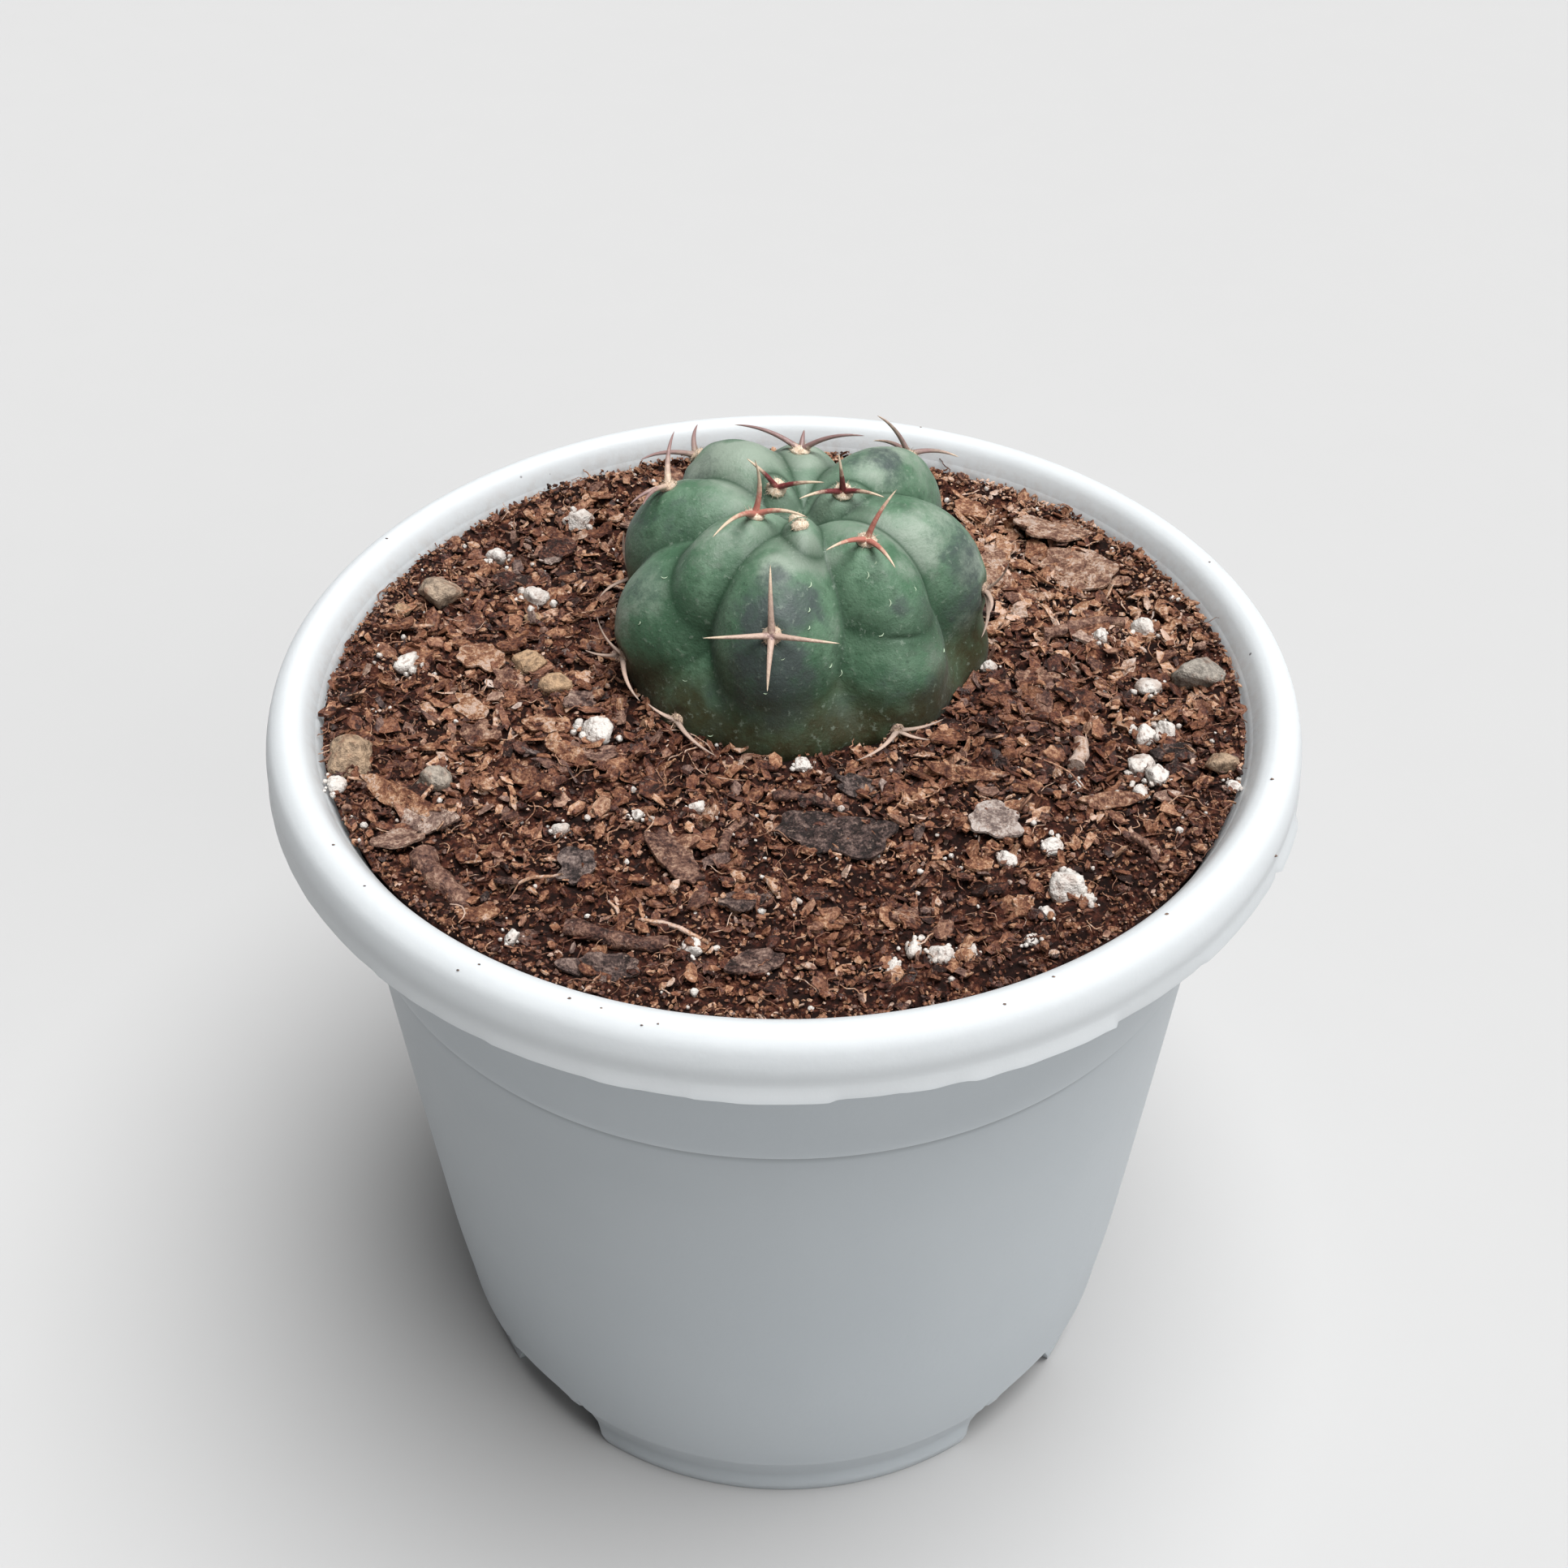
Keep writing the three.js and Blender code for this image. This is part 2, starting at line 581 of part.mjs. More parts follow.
// Smaller chips, strewn at random where neither the plant nor the wall is near
const CHIP_REACH = 43;
const CHIP_FROM_PLANT = 30;
function looseChips(random) {
  const chips = [];
  while (chips.length < LOOSE_CHIPS) {
    const angle = random() * 2 * Math.PI;
    const { x, y } = outward(angle).multiplyScalar(CHIP_REACH * Math.sqrt(random()));
    const fromPlant = Math.hypot(x - PLANT_AXIS[0], y - PLANT_AXIS[1]);
    const shape = [x, y, 1.6 + 1.6 * random(), 1.0 + 0.8 * random(), 180 * random()];
    if (fromPlant > CHIP_FROM_PLANT) {
      chips.push(plate(shape, random));
    }
  }
  return chips;
}

// The space that loose pieces keep to, a little inside the fill's own edge
const OPEN_TOP = 95;
function insideWall() {
  const bottom = FILL_LEVELS.at(-1);
  const edge = [...FILL_LEVELS.toReversed(), SOIL_LEVEL].map((level) => [fillRadius(level) - CLEAR, level]);
  const profile = [[0, bottom], ...edge, [fillRadius(SOIL_LEVEL) - CLEAR, OPEN_TOP], [0, OPEN_TOP]];
  const points = profile.map(([radius, height]) => new THREE.Vector2(radius, height));
  return toSolid(new THREE.LatheGeometry(points, PLANT_COLUMNS).rotateX(Math.PI / 2));
}

function makeSoil() {
  const random = randomStream(7);
  const rows = ROWS_BELOW + SOIL_RINGS + FILL_LEVELS.length + 1;
  const fill = toSolid(wrappedGrid(PLANT_COLUMNS, rows, fillPoint));
  const pieces = [
    ...GRAINS.map((shape) => grain(shape, random)),
    ...BARK.map((shape) => plate(shape, random)),
    ...TWIGS.map((shape) => twig(shape)),
    ...looseChips(random),
  ];
  return toGeometry(fill.add(joinAll(pieces).intersect(insideWall())));
}

function namedMesh(name, geometry, material) {
  const mesh = new THREE.Mesh(geometry, material);
  mesh.name = name;
  return mesh;
}

const pottedCactus = new THREE.Group();
pottedCactus.add(namedMesh('pot', makePot(), MATERIALS.plastic));
pottedCactus.add(namedMesh('soil', makeSoil(), MATERIALS.soil));

const plant = new THREE.Group();
plant.add(namedMesh('cactus_body', makeBody(), MATERIALS.flesh));
for (const tuft of FELT_TUFTS) {
  plant.add(namedMesh(tuft[0], makeFelt(tuft), MATERIALS.felt));
}
for (const areole of AREOLES) {
  plant.add(namedMesh(`spines_${areole[0]}`, makeAreole(areole), MATERIALS[areole[3]]));
}
pottedCactus.add(plant);

export default pottedCactus;
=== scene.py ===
"""A young thelocactus in a white moulded nursery pot, dressed around its CAD frame.

Shapes are worked out in millimetres, +Z up and the front at -Y, and go into meshes in metres.
Angles round the pot or the plant are 0 at the front and grow towards +X.
"""

import math

import bpy
import numpy as np
from bpy.props import FloatProperty, FloatVectorProperty, IntProperty, PointerProperty
from bpy.types import NodeSocket, Operator, Panel, PropertyGroup
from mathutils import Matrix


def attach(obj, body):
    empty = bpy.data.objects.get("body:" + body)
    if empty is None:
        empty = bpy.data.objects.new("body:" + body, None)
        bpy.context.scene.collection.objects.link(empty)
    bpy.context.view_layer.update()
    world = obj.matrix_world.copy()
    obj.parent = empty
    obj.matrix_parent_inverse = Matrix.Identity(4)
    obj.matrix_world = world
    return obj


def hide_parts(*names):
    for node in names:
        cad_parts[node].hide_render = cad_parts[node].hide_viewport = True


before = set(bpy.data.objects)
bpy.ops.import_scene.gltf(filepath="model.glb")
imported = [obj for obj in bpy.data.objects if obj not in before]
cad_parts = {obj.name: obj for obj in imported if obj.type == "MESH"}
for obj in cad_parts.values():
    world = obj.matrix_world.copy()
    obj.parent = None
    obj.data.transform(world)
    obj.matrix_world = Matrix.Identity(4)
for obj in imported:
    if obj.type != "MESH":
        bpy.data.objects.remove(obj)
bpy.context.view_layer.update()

bl_info = {
    "name": "Potted Thelocactus",
    "version": (1, 0, 0),
    "blender": (4, 5, 0),
    "location": "View3D > Sidebar > Cactus",
    "description": "Builds a potted thelocactus piece by piece around its CAD frame",
    "category": "Object",
}

MM = 0.001
# Half of the stage's floor, in metres
FLOOR_HALF = 1.6
UP = np.array([0.0, 0.0, 1.0])

# The pot's section, from the axis on the floor: radius, height, rounding of the corner
POT_INSIDE = [
    (0.0, 11.5, 0.0),
    (39.4, 11.5, 1.2),
    (42.3, 42.0, 8.0),
    (44.3, 68.9, 6.0),
    (45.6, 84.0, 3.0),
    (47.9, 89.3, 0.9),
    (48.8, 90.65, 0.7),
    (50.2, 91.08, 0.7),
    (51.75, 90.15, 0.8),
    (52.5, 87.9, 0.9),
    (52.45, 86.4, 0.5),
    (52.65, 84.9, 0.12),
]
POT_OUTSIDE = [
    (52.2, 84.95, 0.1),
    (51.9, 86.4, 0.6),
    (51.4, 88.6, 0.8),
    (50.1, 89.8, 0.8),
    (48.4, 89.5, 0.7),
    (47.2, 88.1, 0.7),
    (46.75, 85.0, 0.8),
    (45.72, 68.5, 0.1),
    (45.12, 68.1, 0.1),
    (45.2, 66.6, 0.6),
    (43.4, 42.0, 8.0),
    (41.6, 19.0, 5.0),
    (40.75, 12.0, 0.0),
]
FOOT_OUTSIDE = [
    (40.75, 12.0, 0.0),
    (40.3, 7.7, 0.5),
    (39.4, 7.1, 0.4),
    (38.5, 3.2, 0.4),
    (38.6, 2.6, 0.2),
    (38.9, 1.4, 0.6),
    (38.6, 0.0, 0.25),
    (38.3, 0.0, 0.0),
]
FOOT_INSIDE = 37.2
FLOOR_UNDERSIDE = 10.3
# Where the foot arches and the outer drains stand, in degrees round the axis
QUARTERS = np.array([45, 135, 225, 315])
# Half of a foot arch: across from its middle, how high it is cut there
ARCH_HALF = [
    (0.0, 9.2), (1.5, 9.18), (3.0, 9.05), (4.4, 8.6), (5.3, 7.5), (6.1, 5.4), (6.9, 3.2), (7.5, 1.6),
    (8.2, 0.0),
]
ARCH_RADIUS = 38.6
ARCH_STEPS = 25
DRAIN_RADIUS = 2.5
DRAIN_CIRCLE = 25.0
DRILL_DEPTH = 4.0
DRILL_LEVEL = 11.0
# The angle, in degrees, past which the pot's edges stay sharp
POT_SHARP = 38

# Heights, in metres, between which the plastic's tints set in: the fill seen through the wall
# together with painted shade on the wall below the rim, painted shade under the step (from below,
# then from above), the dust inside, with the radii between which it sets in, and the specks on the rim
FILL_AND_SHADE_TINT = (0.0855, 0.0835)
STEP_SHADE_TINT = ((0.0670, 0.0679), (0.0685, 0.0681))
DUST_TINT = (0.080, 0.084)
DUST_RADIUS = (0.0487, 0.0470)
SPECK_TINT = (0.0862, 0.0868)

# The lip's edge (radius, height), the square of the distance over which its raggedness fades,
# and the stretches that stand out: from and to, in degrees round the pot, and how far
LIP_EDGE = (52.6, 84.9)
LIP_SPREAD = 0.3
LIP_FLASH = [
    (-44, -29, 0.10), (-29, -18, 0.20), (-18, -8.5, 0.30), (-8.5, -0.5, 0.38), (-0.5, 4.8, 0.48),
    (4.8, 11, 0.20), (11, 17.5, 0.28), (17.5, 33.5, 0.36), (46, 62, 0.16), (62.8, 71.2, 0.48),
    (96, 118, 0.22), (131, 160, 0.34), (171, 188, 0.18), (203, 229, 0.4), (251, 268, 0.25),
]

# Specks of dirt on the rim: angle, radius, height, size
RIM_SPECKS = [
    (-56.5, 49.6, 90.95, 0.16), (-48.8, 50.0, 90.98, 0.14), (-33.2, 51.3, 90.4, 0.17),
    (-31.5, 50.2, 90.98, 0.14), (-21.2, 50.2, 90.98, 0.18), (-17.8, 50.3, 90.93, 0.13),
    (-13.5, 51.0, 90.65, 0.15), (-12.0, 50.7, 90.8, 0.13), (68.8, 49.9, 90.96, 0.22),
    (61.3, 52.5, 87.6, 0.24), (42.8, 49.8, 90.95, 0.2), (27.5, 49.9, 90.96, 0.17),
    (21.5, 50.8, 90.75, 0.17), (112.0, 50.1, 90.97, 0.16), (-118.0, 49.9, 90.96, 0.17),
    (161.0, 50.4, 90.9, 0.15),
]

# The fill: its distance from the wall and from the plant under the soil, its level, how uneven
# it is, by (share, cell size), and how much wider the plant is a millimetre above the level
CLEAR = 0.15
SOCKET_CLEAR = 0.3
SOIL_LEVEL = 87.1
SOIL_RELIEF = 0.8
SOIL_LUMPS = [(0.6, 9), (0.4, 4)]
SOIL_GRAIN = [(0.34, 2.1), (0.24, 1.1), (0.16, 0.55)]
DRY_PATCHES = [(0.11, 12), (0.07, 5)]
SKIN_LEAN = 0.12
# The soil bed's rings in the socket, as angles up from the heart, and its heights by the wall
SOCKET_RISES = (-75, -55, -35, -20)
BED_LEVELS = (84.0, 60.0, 30.0, 12.8)
BED_BOTTOM = 11.9
# The wall's inside: height, radius
WALL_INSIDE = [(12.4, 39.6), (19.0, 40.5), (42.0, 42.3), (68.9, 44.3), (84.0, 45.6), (89.2, 47.9)]

# The plant: a superellipse dome with tubercles on it, a core (radius, height) and a rounded
# base (radius, height, how far below the heart)
PLANT_HEART = np.array([1.6, 9.5, 91.5])
DOME_RADIUS = 19.4
DOME_HEIGHT = 14.6
DOME_POWER = 2.7
CORE = (14.0, 10.5)
BASE = (17.9, 9.0, 6.0)
# Rounding of the grooves at the top and at the foot, and the heights above the heart between
# which it grows
CREASE_TOP = 0.24
CREASE_FOOT = 1.1
CREASE_FADE = (3.5, -4.0)
# Angle up from the heart at which the skin enters the soil, and how far the search for the skin
# starts and ends from the heart
SOIL_RISE = -13.5
FARTHEST = 24.0
NEAREST = 6.0
# Slow unevenness of the skin: depth, cell size
SKIN_SWAY = [(0.10, 4.2), (0.05, 1.9), (0.015, 0.7)]
# The skin by an areole: depth and width of the hollow; height, distance and width of the ridge
HOLLOW_DEPTH, HOLLOW_WIDTH = 0.22, 1.0
RIDGE_HEIGHT, RIDGE_DISTANCE, RIDGE_WIDTH = 0.12, 1.9, 0.8
# Where the skin is coloured: a groove's width, over which the grooves get painted shade; how far
# young tissue reaches from the axis, the height that it starts at and fades in over; the top of the
# soil stain at the foot, which also paints shade there, and how far it fades in
GROOVE_WIDTH = 0.7
YOUNG_REACH, YOUNG_START, YOUNG_FADE = 6.5, 98, 6
EARTH_AND_SHADE_TOP, EARTH_AND_SHADE_FADE = 94.5, 4.6

# Tubercles: angle round, angle up the dome, half width, length and depth, how far each stands out
TUBERCLES = [
    (-10, 20, 7.0, 10.0, 9.5, 0.4),
    (-6, -16, 7.8, 9.5, 9.5, 0.2),
    (2, 76, 2.4, 4.6, 4.5, 0.0),
    (41, 58, 5.9, 8.8, 8.5, 0.0),
    (39, 0, 7.5, 9.3, 9.5, 0.5),
    (86, 20, 7.2, 10.0, 9.5, 0.3),
    (84, -14, 7.0, 8.0, 9.5, 0.0),
    (132, 49, 5.8, 9.5, 9.5, 1.4),
    (132, -8, 7.2, 9.5, 9.5, 0.0),
    (180, 36, 6.2, 9.5, 9.0, -0.4),
    (180, -6, 7.2, 9.5, 9.5, 0.0),
    (-145, 50, 6.4, 9.5, 9.5, 1.2),
    (-140, -8, 7.2, 9.5, 9.5, 0.0),
    (-103, 47, 6.2, 9.0, 9.0, 0.5),
    (-100, -20, 6.8, 8.5, 9.5, 0.0),
    (-50, 66, 5.0, 8.2, 8.0, 0.2),
    (-65, 5, 7.6, 8.5, 9.5, 0.8),
    (-38, -18, 7.4, 8.5, 9.5, 0.0),
    (108, 80, 2.8, 3.6, 4.0, -0.6),
    (-143, 82, 2.2, 3.0, 4.0, -1.0),
]

# Areoles: name, angle round, angle up from the heart, age, and the spines as (clock angle,
# length, rise above the skin); the clock angle is 0 towards the crown and grows to the right
AREOLES = [
    ("front", -9, 27, "grown", [(-97, 6.7, 14), (91, 6.9, 13), (-5, 7.0, 14), (178, 5.6, 18)]),
    ("right_front", 40, 53, "young", [(-92, 6.0, 18), (-164, 6.4, 16), (90, 6.0, 58)]),
    ("left_front", -50, 67, "young", [(155, 10.2, 6), (72, 6.1, 19), (-168, 6.2, 79)]),
    ("crown_left", -135, 76, "young", [(162, 4.7, 40), (-41, 5.7, 30)]),
    ("crown_right", 100, 72, "young", [(-16, 5.4, 24), (-138, 5.3, 22), (90, 5.2, 77)]),
    ("left", -105, 42, "grown", [(-85, 6.7, 35), (126, 4.8, 9), (90, 6.4, 9)]),
    ("back", 179, 51, "young", [(-71, 7.5, 23), (112, 7.9, 10), (-173, 2.6, 35)]),
    ("back_left", -139, 33, "grown", [(-108, 4.7, 29), (77, 7.6, 30), (-160, 5.0, 14)]),
    ("back_right", 136, 34, "grown", [(11, 6.7, 13), (-143, 6.1, 20), (100, 5.6, 14)]),
    ("right", 82, 12, "old", [(-7, 5.0, 35), (-80, 6.2, 17), (-112, 5.9, 9)]),
    ("left_front_low", -65, 0, "old", [(-7, 5.8, 11), (-95, 4.8, 39), (102, 6.4, 9)]),
    ("right_front_low", 30, -9, "old", [(-90, 6.4, 33), (72, 4.9, 14), (88, 3.6, 42)]),
    ("left_front_base", -39, -9, "old", [(-79, 3.6, 13), (95, 6.9, 12)]),
    ("left_low", -104, 2, "old", [(-12, 5.4, 22), (86, 5.6, 16), (-90, 5.2, 18)]),
    ("back_right_low", 140, -4, "old", [(4, 5.2, 20), (-88, 5.8, 16), (90, 5.4, 16)]),
    ("back_low", -176, 2, "old", [(-6, 5.6, 18), (90, 6.0, 14), (-92, 5.6, 16)]),
    ("back_left_low", -146, -4, "old", [(8, 5.0, 20), (88, 5.4, 16), (-90, 5.6, 16)]),
]
# By age: the felt cushion's radius and how weathered it is, the spines' radius, flatness and roughness
PAD_RADIUS = {"young": 1.05, "grown": 0.95, "old": 0.75}
FELT_AGE = {"young": 0.15, "grown": 0.6, "old": 1.0}
SPINE_RADIUS = {"young": 0.44, "grown": 0.44, "old": 0.36}
SPINE_FLATNESS = {"young": 0.85, "grown": 0.85, "old": 0.6}
SPINE_ROUGHNESS = {"young": 0.42, "grown": 0.5, "old": 0.7}
SPINE_ARC = 0.09
SPINE_TRIM = 0.99
SPINE_STEPS = 20
HAIR_RADIUS = 0.035
# Colours along the spines of an areole, or else of its age: share of the length, colour
SPINE_COLOURS = {
    "young": [(0.0, "rose"), (0.12, "red"), (0.42, "red"), (0.75, "cream"), (1.0, "cream")],
    "grown": [(0.0, "mauve"), (0.12, "bone"), (0.6, "bone"), (0.9, "cream"), (1.0, "cream")],
    "old": [(0.0, "weathered"), (0.5, "bone"), (1.0, "weathered")],
    "right_front": [(0.0, "cream"), (0.1, "rose"), (0.5, "rose"), (0.82, "cream"), (1.0, "cream")],
    "left_front": [(0.0, "rose"), (0.3, "rose"), (0.62, "cream"), (1.0, "cream")],
    "back": [(0.0, "bone"), (0.12, "mauve"), (0.9, "mauve"), (1.0, "weathered")],
    "left": [(0.0, "cream"), (0.3, "bone"), (0.6, "mauve"), (1.0, "mauve")],
    "back_right": [(0.0, "weathered"), (0.3, "mauve"), (0.6, "weathered"), (0.85, "bone"), (1.0, "cream")],
    "back_left": [(0.0, "weathered"), (0.5, "mauve"), (1.0, "mauve")],
}
# Felt tufts without spines: name, angle round, angle up, radius, height
FELT_TUFTS = [("front", 0, 66, 0.9, 0.55), ("crown", -8, 80, 0.8, 1.05)]

# Dark blushes, partly the plant's own and partly painted shade on the left; pale bloom, partly the
# plant's own waxy bloom and partly painted light on the tops and the lower right front; and young
# tissue on the skin: angle round, angle up, size, strength
BLUSHES_AND_PAINTED_SHADE = [
    (-11, 31, 4.4, 0.95), (-1, 35, 3.6, 0.9), (-9, 20, 4.6, 0.95), (-12, 42, 3.0, 0.7), (-7, 8, 4.6, 0.85),
    (77, 25, 3.2, 0.75), (73, 13, 3.2, 0.65), (80, 36, 2.4, 0.4), (37, 30, 1.4, 0.6), (127, 52, 3.0, 0.8),
    (42, -3, 3.6, 0.6), (46, 24, 2.2, 0.45), (-66, 24, 3.2, 0.45), (-148, 36, 3.0, 0.5), (30, 4, 2.8, 0.4),
    (-118, 44, 2.8, 0.5), (-76, 8, 3.6, 0.5), (-150, 10, 4.0, 0.6), (170, 14, 4.0, 0.5), (118, 14, 4.0, 0.6),
    (-104, 14, 3.6, 0.5), (60, 6, 3.0, 0.45), (-30, -2, 3.4, 0.45), (14, -4, 3.0, 0.45), (136, 60, 2.0, 0.5),
    (-100, 30, 3.4, 0.5), (-86, 44, 2.6, 0.4),
]
BLOOMS_AND_PAINTED_LIGHT = [
    (-61, 22, 3.6, 0.45), (-118, 60, 3.6, 0.8), (-145, 58, 4.8, 1.0), (-129, 46, 4.0, 1.0),
    (-52, 52, 3.6, 0.55), (-36, 58, 3.2, 0.45), (180, 52, 4.4, 0.9), (88, 42, 3.4, 0.6),
    (134, 46, 4.4, 0.7), (80, 22, 2.6, 0.7), (41, 62, 3.2, 0.4), (-12, 47, 2.6, 0.9), (4, 55, 3.0, 1.0),
    (66, 42, 3.2, 0.8), (14, 27, 1.6, 0.5), (-75, 12, 3.0, 0.4), (48, 40, 2.0, 0.5), (62, 54, 3.4, 0.7),
    (44, 8, 3.0, 0.35), (-66, 12, 3.2, 0.5), (74, 6, 2.4, 0.5), (120, 58, 3.0, 0.7),
]
YOUNG_SKIN = [(2, 60, 3.2, 0.9), (1, 52, 2.4, 0.6)]
# Short creases pressed into the skin: their width, and angle round and up of both ends, depth
CREASE_WIDTH = 0.28
SKIN_CREASES = [((31.0, 20.6), (41.0, 18.4), 0.32), ((33.5, 24.0), (39.0, 38.0), 0.16)]
# Small pale scars: their lengths, bow and radius, and angle round, angle up, turn on the skin
SCAR_LENGTHS = (0.2, 0.42)
SCAR_BOW = 0.5
SCAR_RADIUS = 0.075
SCARS = [
    (30.6, 41.9, 60), (34.2, 31.7, 75), (29.1, 22.3, 20), (3.3, 34.2, 70), (3.0, 29.0, 65),
    (-5.4, 20.4, 10), (10.6, 14.8, 40), (-57.4, 15.4, 80), (-10.0, 9.6, 5), (4.4, 41.9, 60),
    (-27.0, -10.0, 30), (46.1, 32.2, 80), (36.0, 45.0, 50), (15.0, 10.0, 70), (-40.0, 2.0, 20),
    (-60.0, 30.0, 40), (52.0, 8.0, 15), (100.0, 30.0, 30), (160.0, 30.0, 60), (-150.0, 20.0, 10),
]

# Larger pieces of the fill. Perlite: how many crumbs lie round a grain, and x, y, radius
CRUMBS_A_GRAIN = 7
PERLITE = [
    (-23.6, 32.0, 1.6), (-39.6, 4.7, 1.4), (-27.1, 16.6, 1.6), (-18.8, -7.1, 1.7), (26.2, -30.0, 1.9),
    (36.5, -6.8, 1.5), (38.4, -6.2, 1.3), (35.3, -11.6, 1.3), (36.6, -13.0, 1.1), (38.7, 11.0, 1.5),
    (37.9, 1.6, 1.2), (34.8, -15.4, 0.9), (25.2, -23.6, 1.0), (23.8, -33.2, 0.8), (27.9, -31.4, 0.7),
    (-43.3, -15.9, 1.0), (-21.3, -21.2, 0.9), (-8.4, -18.7, 0.8), (-7.0, -19.2, 0.6), (21.5, 4.5, 0.9),
    (-8.0, -37.1, 0.95), (14.0, -38.1, 1.2), (9.7, -39.6, 0.8), (1.8, -11.8, 0.9), (20.9, -25.3, 0.9),
    (33.7, 8.8, 1.0), (28.5, -14.7, 0.7), (-32.5, 25.8, 1.1), (11.6, -37.4, 1.0), (16.4, -37.4, 0.9),
    (43.6, -15.6, 0.9), (-24.3, -36.6, 0.8), (-14.0, -19.8, 0.7), (22.0, -36.6, 0.7),
]
# Pebbles: x, y, radius, how brown
PEBBLES = [
    (43.0, 2.2, 2.2, 0.1), (43.0, -12.6, 1.4, 0.75), (-37.4, 16.0, 2.0, 0.55), (-34.3, -14.6, 1.5, 0.2),
    (-26.6, 4.5, 1.6, 1.0), (-23.7, 0.7, 1.5, 1.0), (-42.6, -12.0, 2.3, 0.8), (-27.2, 13.1, 0.8, 1.0),
    (-41.4, 13.7, 0.8, 1.0),
]
PLATE_THICKNESS = 0.5
# Bark plates: x, y, half length, half width, turn, tip along, tip across, lift, curl, tone, ashiness
PLATES = [
    (30.8, 29.4, 4.3, 2.9, -14, 4, -10, 0.9, 0.04, 0.74, 0.3),
    (32.8, 22.1, 4.6, 3.2, -30, -6, 10, 0.9, 0.08, 0.72, 0.3),
    (23.4, 22.4, 2.4, 3.4, 10, 8, 6, 0.8, 0.05, 0.7, 0.3),
    (5.0, -22.4, 5.3, 3.0, -6, 2, 4, 0.6, 0.05, 0.14, 0.6),
    (20.1, -20.9, 2.8, 2.2, 15, 6, 4, 0.9, 0.02, 0.78, 0.7),
    (7.5, -15.3, 2.8, 1.3, -20, 10, 8, 0.5, 0.1, 0.2, 0.7),
    (-10.2, -25.8, 4.2, 1.7, -62, 6, -10, 0.6, 0.05, 0.46, 0.35),
    (-16.0, -40.4, 3.4, 1.5, 8, 4, 10, 0.6, 0.05, 0.3, 0.6),
    (-36.4, -23.6, 2.5, 1.6, 30, 10, -12, 0.8, 0.05, 0.6, 0.4),
    (-34.0, -20.4, 2.6, 1.6, -12, -6, 20, 0.8, 0.1, 0.68, 0.5),
    (-31.7, 4.9, 2.6, 1.8, 5, 6, 10, 0.7, 0.06, 0.74, 0.1),
    (-37.0, -18.0, 4.6, 1.0, -28, 8, 30, 1.2, 0.06, 0.62, 0.0),
    (31.6, -17.2, 3.2, 1.0, 22, 10, 25, 0.7, 0.12, 0.56, 0.2),
    (38.9, -9.9, 2.4, 1.2, 8, 4, 10, 0.6, 0.05, 0.15, 0.6),
    (11.0, 41.6, 2.6, 1.6, -35, 20, 8, 1.3, 0.1, 0.35, 0.2),
    (-2.6, -39.6, 2.8, 1.4, 30, 8, 4, 0.5, 0.1, 0.35, 0.5),
    (17.8, -13.6, 3.6, 1.0, -5, 6, 14, 0.5, 0.1, 0.56, 0.1),
    (-20.6, -1.6, 2.4, 1.3, 40, 10, 10, 0.5, 0.1, 0.46, 0.5),
    (-28.4, 1.4, 2.2, 1.5, -30, 12, 8, 0.5, 0.1, 0.56, 0.3),
    (26.4, 2.6, 2.8, 1.2, 15, 8, 12, 0.5, 0.1, 0.56, 0.3),
    (-19.4, -26.6, 2.3, 1.7, 70, -6, 8, 0.6, 0.06, 0.3, 0.7),
    (-3.6, -31.0, 2.4, 1.6, 25, 8, -8, 0.6, 0.08, 0.28, 0.6),
    (-31.9, -3.0, 1.9, 1.3, -35, 10, 14, 0.8, 0.1, 0.84, 0.0),
    (-30.5, -7.2, 2.2, 1.6, -30, 6, 8, 0.6, 0.05, 0.5, 0.3),
    (-24.1, -6.3, 1.9, 1.2, -10, 6, 10, 0.7, 0.05, 0.72, 0.1),
    (-21.5, -10.4, 2.2, 1.0, -38, 6, 12, 0.7, 0.05, 0.62, 0.1),
    (-24.6, -14.6, 2.6, 1.1, -35, 8, 16, 0.6, 0.1, 0.4, 0.1),
    (-27.6, -33.6, 1.8, 1.1, 40, 12, 10, 0.7, 0.1, 0.62, 0.0),
]
# Twigs: x, y, length, radius, turn, tip along, lift, tone
TWIGS = [
    (-31.4, -29.2, 8.4, 1.15, -60, 8, 0.8, 0.42), (32.0, 10.6, 9.4, 0.62, 12, 2, 0.9, 0.5),
    (29.4, -9.7, 5.2, 0.75, 82, 6, 0.6, 0.92), (-15.0, -36.4, 9.5, 0.8, -6, 2, 0.2, 0.3),
    (-5.0, -22.6, 6.0, 0.45, 68, 8, 0.5, 0.5), (34.0, -26.0, 5.0, 0.4, -55, 6, 0.4, 0.42),
    (2.6, -17.6, 7.5, 0.5, -8, 2, 0.4, 0.25),
]
